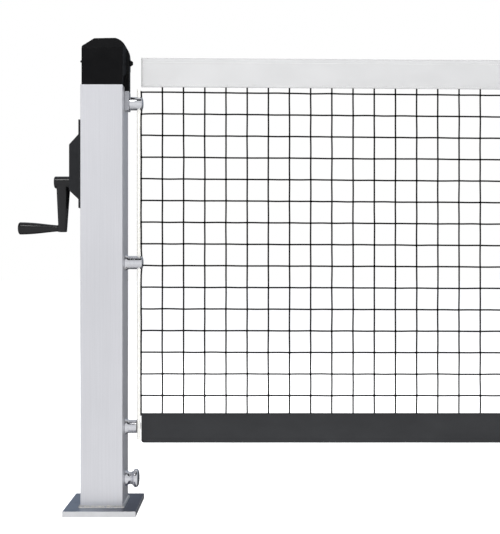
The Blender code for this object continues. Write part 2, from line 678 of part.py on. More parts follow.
def make_worm_wheel(drum):
    """The toothed wheel over the worm. Its teeth lean by the lead angle of the thread."""
    centre = Vector((WHEEL_X, 0, DRUM_Z))
    bm = bmesh.new()
    rings = []
    for y in (-WHEEL_HALF, WHEEL_HALF):
        lean = y * MODULE / 2 / WORM_PITCH_RADIUS / WHEEL_RADIUS
        spots = ((r * math.cos(a - lean), y, r * math.sin(a - lean)) for a, r in gear_outline())
        rings.append([bm.verts.new(spot) for spot in spots])
    bridge(bm, rings)
    wheel = finished(bm, "worm_wheel", BRONZE, drum)
    hub_end = -FRAME_HALF + FRAME_PLATE + GAP
    joined(wheel, rod("wheel_hub", DRUM_AXLE + 3 * MM, centre, "+Y", (hub_end, 0)))
    cut(wheel, rod("wheel_bore", DRUM_AXLE + RUNNING, centre, "+Y", (-POST_HALF, POST_HALF), sides=FINE))
    cut(wheel, rod("wheel_pin_hole", DRIVE_PIN + GAP, centre + Vector((0, 0, DRIVE_PIN_OUT)), "+Y", (-WHEEL_HALF + 2 * MM, POST_HALF)))


def make_drum(drum):
    """The drum that the headline winds on, driven by the wheel through a pin."""
    centre = Vector((WHEEL_X, 0, DRUM_Z))
    near, far = WHEEL_HALF + GAP, FRAME_HALF - FRAME_PLATE - GAP
    core, flange, thick = DRUM_CORE, DRUM_FLANGE, DRUM_FLANGE_THICK
    shape = (
        (flange, near),
        (flange, near + thick),
        (core, near + thick),
        (core, far - thick),
        (flange, far - thick),
        (flange, far),
    )
    spool = turned("cable_drum", shape, centre, "+Y", STEEL, drum)
    cut(spool, rod("drum_bore", DRUM_AXLE + RUNNING, centre, "+Y", (-POST_HALF, POST_HALF), sides=FINE))
    pin = centre + Vector((0, 0, DRIVE_PIN_OUT))
    cut(spool, rod("drum_pin_hole", DRIVE_PIN + GAP, pin, "+Y", (0, near + 8 * MM)))
    rod("drive_pin", DRIVE_PIN, pin, "+Y", (-WHEEL_HALF + 2 * MM + GAP, near + 8 * MM - GAP), STEEL, drum, 16)
    outside = FRAME_HALF + GAP
    head = outside + AXLE_HEAD_THICK
    shape = ((AXLE_HEAD, -head), (AXLE_HEAD, -outside), (DRUM_AXLE, -outside), (DRUM_AXLE, head + 1 * MM))
    turned("drum_axle", shape, centre, "+Y", STEEL, sides=FINE)
    clip = rod("axle_clip", AXLE_HEAD, centre, "+Y", (outside, head), STEEL)
    cut(clip, rod("clip_bore", DRUM_AXLE + GAP, centre, "+Y", (0, POST_HALF)))


# ---- crank ------------------------------------------------------------------------
def arm_ring(bm, x, z, half_x, half_y, sides=20):
    turn = (2 * math.pi * i / sides for i in range(sides))
    return [bm.verts.new((x + half_x * math.cos(a), half_y * math.sin(a), z)) for a in turn]


def make_crank(crank):
    """Boss and arm, moulded in one. The arm hangs straight down and tapers to the grip."""
    boss_x = HOUSING_OUT - 0.6 * MM
    end = boss_x - BOSS_LENGTH
    shape = (
        (BOSS_RADIUS, -boss_x),
        (BOSS_RADIUS, -end - 1.6 * MM),
        (BOSS_RADIUS - 1 * MM, -end - 0.5 * MM),
        (BOSS_RADIUS - 3 * MM, -end),
    )
    centre = Vector((0, 0, CRANK_Z))
    boss = turned("crank_arm", shape, centre, "-X", BLACK_PLASTIC, crank)
    foot_z = GRIP_Z - ARM_BELOW_GRIP
    bm = bmesh.new()
    rings = [
        arm_ring(bm, ARM_X, foot_z, ARM_FOOT[0] - 1.2 * MM, ARM_FOOT[1] - 1.2 * MM),
        arm_ring(bm, ARM_X, foot_z + 1.2 * MM, *ARM_FOOT),
        arm_ring(bm, ARM_X + ARM_LEAN, CRANK_Z - BOSS_RADIUS / 2, *ARM_TOP),
    ]
    bridge(bm, rings)
    arm = finished(bm, "arm_taper", None)
    joined(boss, arm, rod("arm_pad", ARM_PAD, (0, 0, GRIP_Z), "-X", (-ARM_X, -GRIP_X - GAP)))
    cut(boss, rod("boss_bore", SHAFT_RADIUS + GAP, centre, "-X", (0, -HOUSING_OUT + BOSS_LENGTH - 4 * MM)))
    cut(boss, rod("spindle_hole", SPINDLE_RADIUS + GAP, (0, 0, GRIP_Z), "-X", (-ARM_X - 4 * MM, POST_SIDE * 2)))
    screw_x = boss_x - 10 * MM
    spot = Vector((screw_x, 0, CRANK_Z))
    cut(boss, rod("set_screw_hole", SET_SCREW + GAP, spot, "+Y", (0, POST_HALF), sides=16))
    rod("crank_set_screw", SET_SCREW, spot, "+Y", (SHAFT_RADIUS + GAP, BOSS_RADIUS - 0.6 * MM), STEEL, crank, 16)


def make_grip(grip, crank):
    """The turning grip, snapped over the head of its spindle. Its outside is a long club shape."""
    start = -GRIP_X
    end = start + GRIP_LENGTH
    steps = 8
    shape = [(GRIP_NECK, start)]
    for step in range(1, steps + 1):
        share = step / steps
        swell = math.sin(share * math.pi / 2) ** 1.3
        shape.append((GRIP_NECK + (GRIP_END - GRIP_NECK) * swell, start + share * (GRIP_LENGTH - 3 * MM)))
    shape += [(GRIP_END - 0.8 * MM, end - 1 * MM), (GRIP_END - 3.5 * MM, end)]
    centre = Vector((0, 0, GRIP_Z))
    handle = turned("crank_grip", shape, centre, "-X", BLACK_PLASTIC, grip)
    tail = start + SPINDLE_LENGTH
    neck = SPINDLE_RADIUS + RUNNING
    bore = (
        (neck, start - 1 * MM),
        (neck, tail - 6 * MM),
        (SPINDLE_HEAD + 2 * GAP, tail - 5 * MM),
        (SPINDLE_HEAD + 2 * GAP, tail + 1 * MM),
    )
    cut(handle, turned("grip_bore", bore, centre, "-X", sides=FINE))
    pin = (
        (SPINDLE_RADIUS, -ARM_X - 4 * MM + GAP),
        (SPINDLE_RADIUS, tail - 4.4 * MM),
        (SPINDLE_HEAD, tail - 4 * MM),
        (SPINDLE_HEAD, tail - 2 * MM),
        (SPINDLE_RADIUS, tail),
    )
    turned("grip_spindle", pin, centre, "-X", STEEL, crank, FINE)


# ---- studs and rod ----------------------------------------------------------------
def make_lacing_stud(word, height):
    """A turned stud screwed through the post wall, bored or notched near its end for the rod.

    The top stud stands on the head bracket, which takes the place of its collar. The bottom
    stud ends behind the rod, clear of the bottom band.
    """
    root = POST_HALF + GAP
    tip = ROD_X + ROD_RADIUS if word == "bottom" else STUD_END
    collar = [
        (STUD_COLLAR, root),
        (STUD_COLLAR, root + STUD_COLLAR_LENGTH - 3 * MM),
        (STUD_RADIUS, root + STUD_COLLAR_LENGTH),
    ]
    if word == "top":
        root += BRACKET_THICK + GAP
        collar = [(STUD_RADIUS, root)]
    shape = (
        (STUD_SHANK, POST_HALF - STUD_SHANK_DEPTH),
        (STUD_SHANK, root),
        *collar,
        (STUD_RADIUS, tip - 4 * MM),
        (STUD_RADIUS - 1.6 * MM, tip - 1.4 * MM),
        (STUD_RADIUS - 4.5 * MM, tip),
    )
    stud = turned(f"lacing_stud_{word}", shape, (0, 0, height), "+X", CHROME, sides=28)
    seat = ROD_RADIUS + GAP
    if word == "bottom":
        z = (height - STUD_COLLAR, height + STUD_COLLAR)
        cut(stud, box("rod_notch", (ROD_X - seat, ROD_X + 2 * seat), (-STUD_COLLAR, seat), z))
    else:
        cut(stud, rod("rod_hole", seat, (ROD_X, 0, height), "+Z", (-STUD_COLLAR, STUD_COLLAR), sides=24))


def make_tie_stud():
    """The mushroom stud at the foot, for the tail of the lacing line."""
    root = POST_HALF + GAP
    neck_end = root + TIE_NECK_LENGTH
    tip = neck_end + TIE_HEAD_LENGTH
    shape = (
        (STUD_SHANK, POST_HALF - STUD_SHANK_DEPTH),
        (STUD_SHANK, root),
        (STUD_COLLAR, root),
        (STUD_COLLAR, root + 2.5 * MM),
        (TIE_NECK, root + STUD_COLLAR_LENGTH),
        (TIE_NECK, neck_end),
        (TIE_HEAD, neck_end + 2 * MM),
        (TIE_HEAD, tip - 4 * MM),
        (TIE_HEAD - 2.5 * MM, tip - 1 * MM),
        (TIE_HEAD - 6 * MM, tip),
    )
    turned("tie_off_stud", shape, (0, 0, TIE_STUD_Z), "+X", CHROME, sides=28)


def make_nut(word, height):
    wall = POST_HALF - POST_WALL - GAP
    nut = rod(f"stud_nut_{word}", NUT_RADIUS, (0, 0, height), "+X", (wall - NUT_THICK, wall), STEEL, sides=6)
    cut(nut, rod("nut_bore", STUD_SHANK + GAP, (0, 0, height), "+X", (0, POST_SIDE)))


def make_studs():
    for word, height in STUD_HEIGHTS.items():
        make_lacing_stud(word, height)
        make_nut(word, height)
    make_tie_stud()
    make_nut("foot", TIE_STUD_Z)
    rod("lacing_rod", ROD_RADIUS, (ROD_X, 0, 0), "+Z", ROD_SPAN, WHITE_ROD, sides=24)


# ---- net --------------------------------------------------------------------------
def droop(x, amount):
    """How far the net hangs down at x, nothing at the post."""
    return amount * (x - NET_X) / (NET_END - NET_X)


def tape(name, span, droops, finish):
    """A flat band along the net, from the rod to the free end."""
    bm = bmesh.new()
    rings = []
    half = TAPE_THICK / 2
    for x in (NET_X + GAP, NET_END):
        low, high = (z - droop(x, d) for z, d in zip(span, droops))
        rings.append([bm.verts.new((x, y, z)) for y, z in ((-half, low), (half, low), (half, high), (-half, high))])
    bridge(bm, rings)
    return finished(bm, name, finish)


def row_droop(z):
    """The droop of a row fades from the top row to nothing at the bottom band."""
    return NET_DROOP * (z - BOTTOM_BAND[1]) / (NET_TOP_ROW - BOTTOM_BAND[1])


def net_cell(bm, xs, zs):
    """One square of the mesh as a ring of four corners, in front and at the back."""
    half = CORD / 2
    return [[bm.verts.new((x, y, z - droop(x, row_droop(z)))) for x, z in zip(xs, zs)] for y in (-half, half)]


def make_net_mesh():
    """The square mesh as one plate, with a window cut for each square."""
    half = CORD / 2
    low, high = BOTTOM_BAND[1] + GAP, HEADBAND[0] - HEADBAND_DROOP - 3.5 * MM
    bm = bmesh.new()
    left, right = NET_X - half, NET_END + half
    bridge(bm, net_cell(bm, (left, right, right, left), (low, low, high, high)))
    mesh = finished(bm, "net_mesh", BLACK_CORD)
    bm = bmesh.new()
    heights = [NET_TOP_ROW - row * NET_ROW_PITCH for row in range(NET_ROWS)]
    bounds = [(heights[0] + half, high + CORD)]
    bounds += [(b + half, a - half) for a, b in zip(heights, heights[1:])]
    bounds += [(low - CORD, heights[-1] - half)]
    for column in range(NET_COLUMNS - 1):
        x0 = NET_X + column * NET_COLUMN_PITCH + half
        x1 = x0 + NET_COLUMN_PITCH - CORD
        for z0, z1 in bounds:
            rings = net_cell(bm, (x0, x1, x1, x0), (z0, z0, z1, z1))
            for ring, y in zip(rings, (-CORD, CORD)):
                for vert in ring:
                    vert.co.y = y
            bridge(bm, rings)
    boolean(mesh, finished(bm, "net_windows", None))
    for height in STUD_HEIGHTS.values():
        reach = STUD_COLLAR + GAP
        cut(mesh, box("stud_clearance", (0, max(NET_X + CORD, STUD_END + GAP)), (-reach, reach), (height - reach, height + reach)))


def make_net():
    tape("net_headband", HEADBAND, (HEADBAND_DROOP, HEADBAND_DROOP), WHITE_TAPE)
    tape("net_bottom_band", BOTTOM_BAND, (0, 0), CHARCOAL_TAPE)
    make_net_mesh()


clear_scene()
SILVER = material("silver_anodised", (0.61, 0.62, 0.64), 0.35, 0.9)
STEEL = material("plated_steel", (0.5, 0.51, 0.54), 0.35, 1.0)
WELD = material("weld_bead", (0.55, 0.55, 0.56), 0.45, 1.0)
CHROME = material("bright_chrome", (0.62, 0.62, 0.65), 0.08, 1.0)
BRONZE = material("bronze", (0.55, 0.36, 0.16), 0.35, 1.0)
BLACK_PLASTIC = material("black_nylon", (0.012, 0.012, 0.014), 0.45)
BLACK_STEEL = material("black_powder_coat", (0.03, 0.03, 0.033), 0.5)
WHITE_NYLON = material("white_nylon", (0.8, 0.8, 0.78), 0.4)
WHITE_ROD = material("white_fibreglass", (0.85, 0.85, 0.82), 0.3)
WHITE_TAPE = material("white_vinyl_tape", (0.8, 0.8, 0.8), 0.6)
CHARCOAL_TAPE = material("charcoal_tape", (0.045, 0.045, 0.047), 0.8)
BLACK_CORD = material("black_cord", (0.012, 0.012, 0.012), 0.8)

make_foot()
make_post()
make_cap()
make_cap_fittings()
make_pulley()
make_head_bracket()
make_flange()
make_housing()
make_winch_frame()
make_worm_bushes()
CRANK = axis_empty("crank_axis", (0, 0, CRANK_Z))
DRUM = axis_empty("drum_axis", (WHEEL_X, 0, DRUM_Z))
GRIP = axis_empty("grip_axis", (GRIP_X, 0, GRIP_Z))
make_worm(CRANK)
make_worm_wheel(DRUM)
make_drum(DRUM)
make_crank(CRANK)
make_grip(GRIP, CRANK)
make_studs()
make_net()
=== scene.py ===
# %% [markdown]
# # A net post with its winch, and the end of its net
#
# The real thing stands at the side of a court: a square silver post on a steel foot, a
# black cap with a pulley in it, a winch with a hand crank, and bright studs that hold a
# white rod. The net is laced to the rod. The post, the winch and every moving piece come
# ready made as a frame. This lesson gives them their surfaces, and makes the soft net.

# %% Load the frame
import json
import math

import bmesh
import bpy
from mathutils import Matrix, Vector, noise

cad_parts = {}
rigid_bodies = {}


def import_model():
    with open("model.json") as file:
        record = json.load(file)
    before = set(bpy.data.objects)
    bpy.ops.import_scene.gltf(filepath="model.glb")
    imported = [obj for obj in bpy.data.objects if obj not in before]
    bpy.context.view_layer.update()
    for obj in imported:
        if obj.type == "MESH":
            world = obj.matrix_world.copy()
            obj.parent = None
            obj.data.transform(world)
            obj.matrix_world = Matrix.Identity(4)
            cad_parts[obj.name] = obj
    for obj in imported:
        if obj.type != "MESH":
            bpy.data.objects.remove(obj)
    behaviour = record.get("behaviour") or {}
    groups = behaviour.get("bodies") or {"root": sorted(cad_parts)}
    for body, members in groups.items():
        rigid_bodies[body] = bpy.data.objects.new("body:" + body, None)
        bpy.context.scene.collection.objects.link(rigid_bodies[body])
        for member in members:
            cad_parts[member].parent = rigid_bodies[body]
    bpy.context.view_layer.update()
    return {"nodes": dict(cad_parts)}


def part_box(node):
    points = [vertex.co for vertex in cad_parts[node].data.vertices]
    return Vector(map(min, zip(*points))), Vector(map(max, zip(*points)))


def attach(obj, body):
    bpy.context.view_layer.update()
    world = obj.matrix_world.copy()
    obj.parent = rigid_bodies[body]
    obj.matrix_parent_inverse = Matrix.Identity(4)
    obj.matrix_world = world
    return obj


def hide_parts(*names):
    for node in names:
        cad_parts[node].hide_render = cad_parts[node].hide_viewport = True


for start_object in list(bpy.data.objects):
    bpy.data.objects.remove(start_object, do_unlink=True)
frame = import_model()

# %% [markdown]
# All sizes are in metres, and the frame gives most of them: a piece is placed from the box
# of the solid that it stands for. One pair of corners per solid is enough to find axes,
# ends and heights.

# %% Sizes from the frame
MM = 0.001
TURN = 2 * math.pi
BOXES = {node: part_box(node) for node in frame["nodes"]}


def low(node, axis):
    return BOXES[node][0]["xyz".index(axis)]


def high(node, axis):
    return BOXES[node][1]["xyz".index(axis)]


def middle(node, axis):
    return (low(node, axis) + high(node, axis)) / 2


POST_HALF = high("post_tube", "x")
POST_TOP = high("post_tube", "z")
NET_LEFT = low("net_headband", "x")
NET_RIGHT = high("net_headband", "x")
print(f"post {2 * POST_HALF / MM:.0f} mm square, net from {NET_LEFT / MM:.1f} to {NET_RIGHT / MM:.1f} mm")

# %% [markdown]
# ## Materials
#
# Each finish is a small network of nodes on one Principled shader. One helper turns the
# colour that a screen shows into the light that Blender computes with. Another adds a node
# with its settings and its links. The rest are a start, a pattern of a real size and an
# end that every finish shares.


# %% Helpers for materials
def linear(screen):
    """A screen colour such as "#d0d1d6" as linear red, green, blue and alpha."""
    values = (int(screen[i : i + 2], 16) / 255 for i in (1, 3, 5))
    light = (v / 12.92 if v <= 0.04045 else ((v + 0.055) / 1.055) ** 2.4 for v in values)
    return (*light, 1.0)


def add(tree, kind, inputs=None, stops=(), **settings):
    """Adds a node. inputs takes plain values, or another node's output to link.

    stops are a colour ramp's, as (position, screen colour) pairs.
    """
    node = tree.nodes.new("ShaderNode" + kind)
    for key, value in settings.items():
        setattr(node, key, value)
    for key, value in (inputs or {}).items():
        if isinstance(value, bpy.types.NodeSocket):
            tree.links.new(value, node.inputs[key])
        else:
            node.inputs[key].default_value = value
    if stops:
        elements = node.color_ramp.elements
        while len(elements) < len(stops):
            elements.new(0.5)
        for element, (position, colour) in zip(elements, stops):
            element.position = position
            element.color = linear(colour)
    return node


MIX_A, MIX_B, MIX_RESULT = 6, 7, 2  # the colour sockets of a Mix node
METRE_WAVE = 0.314  # the scale at which a wave texture's bands are 1 m wide
print("colour check: middle grey is", round(linear("#808080")[0], 3))


# %% How every finish starts and ends
def new_finish(name, **sockets):
    """A material with one Principled shader, and the place of a surface point in metres."""
    finish = bpy.data.materials.new(name)
    finish.use_nodes = True
    tree = finish.node_tree
    shader = tree.nodes["Principled BSDF"]
    for key, value in sockets.items():
        shader.inputs[key.replace("_", " ")].default_value = value
    place = add(tree, "TexCoord").outputs["Object"]
    return finish, tree, shader, place


def grain(tree, place, size, stretch=(1, 1, 1), detail=3.0):
    """A cloudy pattern with patches of about size metres, drawn out along an axis by stretch."""
    scale = tuple(1 / (size * s) for s in stretch)
    spot = add(tree, "Mapping", {"Vector": place, "Scale": scale}).outputs["Vector"]
    return add(tree, "TexNoise", {"Vector": spot, "Scale": 1.0, "Detail": detail}).outputs["Fac"]


def dress(tree, shader, tint=None, rough=None, bump=None):
    """Links a finish's last nodes to its shader: the first output of each, and a Mix node's colour."""
    for socket, node in (("Base Color", tint), ("Roughness", rough), ("Normal", bump)):
        if node:
            output = node.outputs[MIX_RESULT if node.type == "MIX" else 0]
            tree.links.new(output, shader.inputs[socket])


print("a finish starts from", new_finish("spare")[2].name)
bpy.data.materials.remove(bpy.data.materials["spare"])

# %% [markdown]
# ### Satin anodised aluminium: the post
#
# The post is an extruded tube. Drawing it through the die leaves faint lines along its
# length, and anodising then turns the surface to a pale satin, so it takes broad soft
# reflections and no sharp ones. The lines are noise stretched a hundred and sixty times
# along the post. A real one is finer than a view of the whole post can show, so they are
# drawn 0.8 mm apart. The bracket at its top is the same metal, sawn, with painted shade:
# its colours are set darker for the shade of the cap above it.


# %% Satin anodised aluminium
def anodised_aluminium(name, deep, pale):
    finish, tree, shader, place = new_finish(name, Metallic=0.85)
    clouds = grain(tree, place, 130 * MM, (1, 1, 2.5))
    lines = grain(tree, place, 0.8 * MM, (1, 1, 160), 2.0)
    base = add(tree, "ValToRGB", {"Fac": clouds}, [(0.3, deep), (0.7, pale)])
    streaks = add(tree, "ValToRGB", {"Fac": lines}, [(0.35, "#fafafa"), (0.65, "#ffffff")])
    layers = {0: 1.0, MIX_A: base.outputs["Color"], MIX_B: streaks.outputs["Color"]}
    tint = add(tree, "Mix", layers, data_type="RGBA", blend_type="MULTIPLY")
    rough = add(tree, "MapRange", {"Value": lines, "To Min": 0.38, "To Max": 0.44})
    bump = add(tree, "Bump", {"Height": lines, "Distance": 0.01 * MM, "Strength": 0.2})
    dress(tree, shader, tint, rough, bump)
    return finish


POST_FINISH = anodised_aluminium("satin_anodised_aluminium", "#e4e4e7", "#ececef")
# Painted shade: the bracket's colours are darker than the post's, for the shade of the cap above it.
SHADED_BRACKET_FINISH = anodised_aluminium("sawn_aluminium_painted_shade", "#bcbdc1", "#c4c5c9")
print("made", POST_FINISH.name, SHADED_BRACKET_FINISH.name)

# %% [markdown]
# ### Rolled steel: the foot, and its weld
#
# The foot is rolled plate, ground and zinc plated. Its top is painted darker and bluer than
# its sawn edges: painted shade, for the dark blue-grey that the top mirrors from behind.
# The top is also painted lighter at its left end than at its right, a painted fall-off of
# light. The direction that the surface faces tells top and edges apart. The bead where the
# post stands on it is bare weld metal that was brushed clean, with straw and blue heat tint.


# %% Rolled steel
def rolled_steel():
    finish, tree, shader, place = new_finish("rolled_steel_plate", Metallic=1.0)
    x = add(tree, "SeparateXYZ", {"Vector": place}).outputs["X"]
    ends = {"From Min": low("base_plate", "x"), "From Max": high("base_plate", "x")}
    # Painted fall-off of light: the top's colour runs from light at the left end of the plate to dark at the
    # right.
    across = add(tree, "MapRange", {"Value": x, **ends}).outputs["Result"]
    patches = grain(tree, place, 22 * MM)
    spot = add(tree, "Mix", {0: 0.3, MIX_A: across, MIX_B: patches}, data_type="RGBA")
    # Painted shade: the top's colours are darker and bluer than the sawn edges' colours below.
    painted_shade_top_colours = [(0.2, "#b6bfcd"), (0.55, "#9298a8"), (0.8, "#70717d")]
    top = add(tree, "ValToRGB", {"Fac": spot.outputs[MIX_RESULT]}, painted_shade_top_colours)
    edge = add(tree, "ValToRGB", {"Fac": patches}, [(0.3, "#efefef"), (0.7, "#f8f8f8")])
    # The mask of the painted shade: faces that look up take the darker top colours.
    facing = add(tree, "SeparateXYZ", {"Vector": add(tree, "NewGeometry").outputs["Normal"]})
    painted_shade_top_mask = add(tree, "MapRange", {"Value": facing.outputs["Z"], "From Min": 0.5})
    sides = {0: painted_shade_top_mask.outputs["Result"], MIX_A: edge.outputs["Color"], MIX_B: top.outputs["Color"]}
    tint = add(tree, "Mix", sides, data_type="RGBA")
    brushing = grain(tree, place, 0.7 * MM, (60, 1, 1), 2.0)
    rough = add(tree, "MapRange", {"Value": brushing, "To Min": 0.24, "To Max": 0.4})
    bump = add(tree, "Bump", {"Height": brushing, "Distance": 0.02 * MM, "Strength": 0.5})
    dress(tree, shader, tint, rough, bump)
    return finish


PLATE_FINISH = rolled_steel()
print("made", PLATE_FINISH.name)


# %% Weld metal
def weld_metal():
    finish, tree, shader, place = new_finish("brushed_weld_metal", Metallic=1.0)
    patches = grain(tree, place, 6 * MM)
    specks = grain(tree, place, 1.2 * MM)
    heat_tint = [(0.3, "#d4d6db"), (0.55, "#ece9e2"), (0.75, "#c3c9d6")]
    tint = add(tree, "ValToRGB", {"Fac": patches}, heat_tint)
    rough = add(tree, "MapRange", {"Value": specks, "To Min": 0.22, "To Max": 0.42})
    bump = add(tree, "Bump", {"Height": specks, "Distance": 0.1 * MM, "Strength": 0.5})
    dress(tree, shader, tint, rough, bump)
    return finish


WELD_FINISH = weld_metal()
print("made", WELD_FINISH.name)

# %% [markdown]
# ### Zinc plate and bronze: fasteners, shafts and bushes
#
# Small steel pieces are plated in a turning barrel, which mottles them a little. Bushes
# and the worm wheel are sintered bronze, which has the same mottle in brown, and is duller
# because its surface is full of pores for oil.


# %% Mottled metals
def mottled_metal(name, deep, pale, rough_least):
    finish, tree, shader, place = new_finish(name, Metallic=1.0)
    patches = grain(tree, place, 3 * MM)
    pits = grain(tree, place, 0.6 * MM)
    tint = add(tree, "ValToRGB", {"Fac": patches}, [(0.35, deep), (0.65, pale)])
    rough = add(tree, "MapRange", {"Value": patches, "To Min": rough_least, "To Max": rough_least + 0.16})
    bump = add(tree, "Bump", {"Height": pits, "Distance": 0.02 * MM, "Strength": 0.4})
    dress(tree, shader, tint, rough, bump)
    return finish


ZINC_FINISH = mottled_metal("zinc_plated_steel", "#b6bac0", "#d2d4d6", 0.24)
BRONZE_FINISH = mottled_metal("sintered_bronze", "#96683a", "#b9884c", 0.36)
print("made", ZINC_FINISH.name, BRONZE_FINISH.name)

# %% [markdown]
# ### Chromium plate: the studs
#
# The studs are turned brass with decorative chromium, the brightest surface here. Nearly
# all of its look is what it mirrors. Plating never hides the tool marks of the lathe
# quite, so rings 0.9 mm apart run round each stud, too shallow to see but for a break in
# the reflections.


# %% Chromium plate
def chromium():
    finish, tree, shader, place = new_finish("turned_chromium_plate", Metallic=1.0)
    haze = grain(tree, place, 5 * MM)
    rings = grain(tree, place, 0.9 * MM, (1, 60, 60), 1.0)
    tint = add(tree, "ValToRGB", {"Fac": haze}, [(0.3, "#e9eaee"), (0.7, "#f4f4f6")])
    rough = add(tree, "MapRange", {"Value": haze, "To Min": 0.05, "To Max": 0.13})
    bump = add(tree, "Bump", {"Height": rings, "Distance": 0.01 * MM, "Strength": 0.3})
    dress(tree, shader, tint, rough, bump)
    return finish


CHROME_FINISH = chromium()
print("made", CHROME_FINISH.name)

# %% [markdown]
# ### Black mouldings and powder coat
#
# Three blacks meet on this post, and they are not the same. The cap is ABS from a
# spark-eroded mould, with an even fine grain that leaves it dull, almost a silhouette. The
# crank is glass-filled nylon, smoother, so its round shapes carry clear highlights. The
# winch cover is steel with a powder coat, lighter, with the low hills that painters call
# orange peel. Corners of all three are painted a little paler, partly as wear and partly
# as a painted highlight along the edges. A Bevel node finds them: it rounds the normal near
# an edge, and the difference from the true normal is the mask.


# %% Black finishes
def worn_and_highlit_edges(tree, tint, rubbed_and_highlit, reach):
    """Mixes a paler colour in where the surface turns a corner within reach metres, partly wear and partly a
    painted edge highlight.
    """
    rounded = add(tree, "Bevel", {"Radius": reach}, samples=4).outputs["Normal"]
    true = add(tree, "NewGeometry").outputs["Normal"]
    same = add(tree, "VectorMath", {0: rounded, 1: true}, operation="DOT_PRODUCT").outputs["Value"]
    turned = add(tree, "MapRange", {"Value": same, "From Min": 0.99, "From Max": 0.86, "To Max": 0.6})
    colours = {0: turned.outputs["Result"], MIX_A: tint, MIX_B: linear(rubbed_and_highlit)}
    return add(tree, "Mix", colours, data_type="RGBA")


def black_finish(name, shades, rubbed_and_highlit, hill, depth, rough, gloss):
    """A black skin with hills of one size and depth in metres. Clean plastic has a gloss of 0.5."""
    finish, tree, shader, place = new_finish(name, IOR=1.5, Specular_IOR_Level=gloss)
    clouds = grain(tree, place, 25 * MM)
    hills = grain(tree, place, hill, detail=2.0)
    handling = grain(tree, place, 9 * MM, (1, 1, 3))
    skin_tint = add(tree, "ValToRGB", {"Fac": clouds}, list(zip((0.3, 0.7), shades)))
    # The paler corners are partly wear and partly a painted highlight on the edges.
    tint = worn_and_highlit_edges(tree, skin_tint.outputs["Color"], rubbed_and_highlit, 0.8 * MM)
    polish = add(tree, "MapRange", {"Value": handling, "To Min": rough - 0.05, "To Max": rough + 0.08})
    bump = add(tree, "Bump", {"Height": hills, "Distance": depth, "Strength": 0.5})
    dress(tree, shader, tint, polish, bump)
    return finish


JET = ("#060607", "#0a0a0b")
CHARCOAL = ("#161719", "#1b1c1e")
# The third colour of each is its paler corner: partly wear, partly a painted edge highlight.
CAP_FINISH = black_finish("moulded_black_abs", JET, "#2c2c30", 0.7 * MM, 0.05 * MM, 0.42, 0.1)
CRANK_FINISH = black_finish("glass_filled_nylon", JET, "#202124", 0.9 * MM, 0.02 * MM, 0.22, 0.5)
WINCH_FINISH = black_finish("black_powder_coat", CHARCOAL, "#36373b", 1.6 * MM, 0.07 * MM, 0.5, 0.25)
print("made", CAP_FINISH.name, CRANK_FINISH.name, WINCH_FINISH.name)

# %% [markdown]
# ### White nylon and fibreglass
#
# The rod that the net is laced to is pultruded fibreglass under a white gel coat, so it is
# smooth with long streaks. The pulley is turned nylon, a softer and warmer white that lets
# a little light into itself.


# %% White finishes
def white_rod():
    finish, tree, shader, place = new_finish("white_pultruded_rod", IOR=1.5)
    streaks = grain(tree, place, 1.2 * MM, (1, 1, 70))
    tint = add(tree, "ValToRGB", {"Fac": streaks}, [(0.35, "#e4e2da"), (0.65, "#f3f2ee")])
    rough = add(tree, "MapRange", {"Value": streaks, "To Min": 0.25, "To Max": 0.4})
    bump = add(tree, "Bump", {"Height": streaks, "Distance": 0.03 * MM, "Strength": 0.4})
    dress(tree, shader, tint, rough, bump)
    return finish


def turned_nylon():
    translucent = {"Subsurface_Weight": 0.15, "Subsurface_Scale": 2 * MM}
    finish, tree, shader, place = new_finish("turned_white_nylon", IOR=1.53, **translucent)
    rings = grain(tree, place, 0.5 * MM)
    tint = add(tree, "ValToRGB", {"Fac": rings}, [(0.3, "#dedcd4"), (0.7, "#eceae4")])
    rough = add(tree, "MapRange", {"Value": rings, "To Min": 0.35, "To Max": 0.5})
    dress(tree, shader, tint, rough)
    return finish


ROD_FINISH = white_rod()
NYLON_FINISH = turned_nylon()
print("made", ROD_FINISH.name, NYLON_FINISH.name)

# %% [markdown]
# ### Cloth and cord
#
# The headband is vinyl-coated polyester, the bottom band a charcoal webbing, and the net
# a twisted black polyethylene cord. Weave is drawn as two sets of waves at right angles,
# the warp along the band and the weft across it, with painted shade that darkens the gaps
# between the threads. A real thread is 0.5 mm wide, too fine for
# a view of the whole post, so the headband's are drawn 1.1 mm wide and the webbing's 1.4.


# %% Woven finishes
def woven(name, thread, depth, deep, pale, rough, sheen=0.0):
    """Plain weave: one wave for the warp times one for the weft, each a thread wide."""
    finish, tree, shader, place = new_finish(name, Roughness=rough, Sheen_Weight=sheen)
    size = {"Vector": place, "Scale": METRE_WAVE / thread}
    warp, weft = (add(tree, "TexWave", size, bands_direction=way).outputs["Fac"] for way in "XZ")
    crossed = add(tree, "Math", {0: warp, 1: weft}, operation="MULTIPLY").outputs["Value"]
    fuzz = grain(tree, place, 0.8 * MM)
    height = add(tree, "Math", {0: crossed, 1: fuzz}, operation="ADD").outputs["Value"]
    clouds = grain(tree, place, 40 * MM, (2, 1, 1))
    base = add(tree, "ValToRGB", {"Fac": clouds}, [(0.3, deep), (0.7, pale)])
    # Painted shade: the gaps between the threads are painted darker, where shade falls between them.
    painted_gap_shade = add(tree, "ValToRGB", {"Fac": crossed}, [(0.0, "#e6e6e6"), (0.6, "#ffffff")])
    layers = {0: 1.0, MIX_A: base.outputs["Color"], MIX_B: painted_gap_shade.outputs["Color"]}
    tint = add(tree, "Mix", layers, data_type="RGBA", blend_type="MULTIPLY")
    bump = add(tree, "Bump", {"Height": height, "Distance": depth, "Strength": 0.6})
    dress(tree, shader, tint, bump=bump)
    return finish


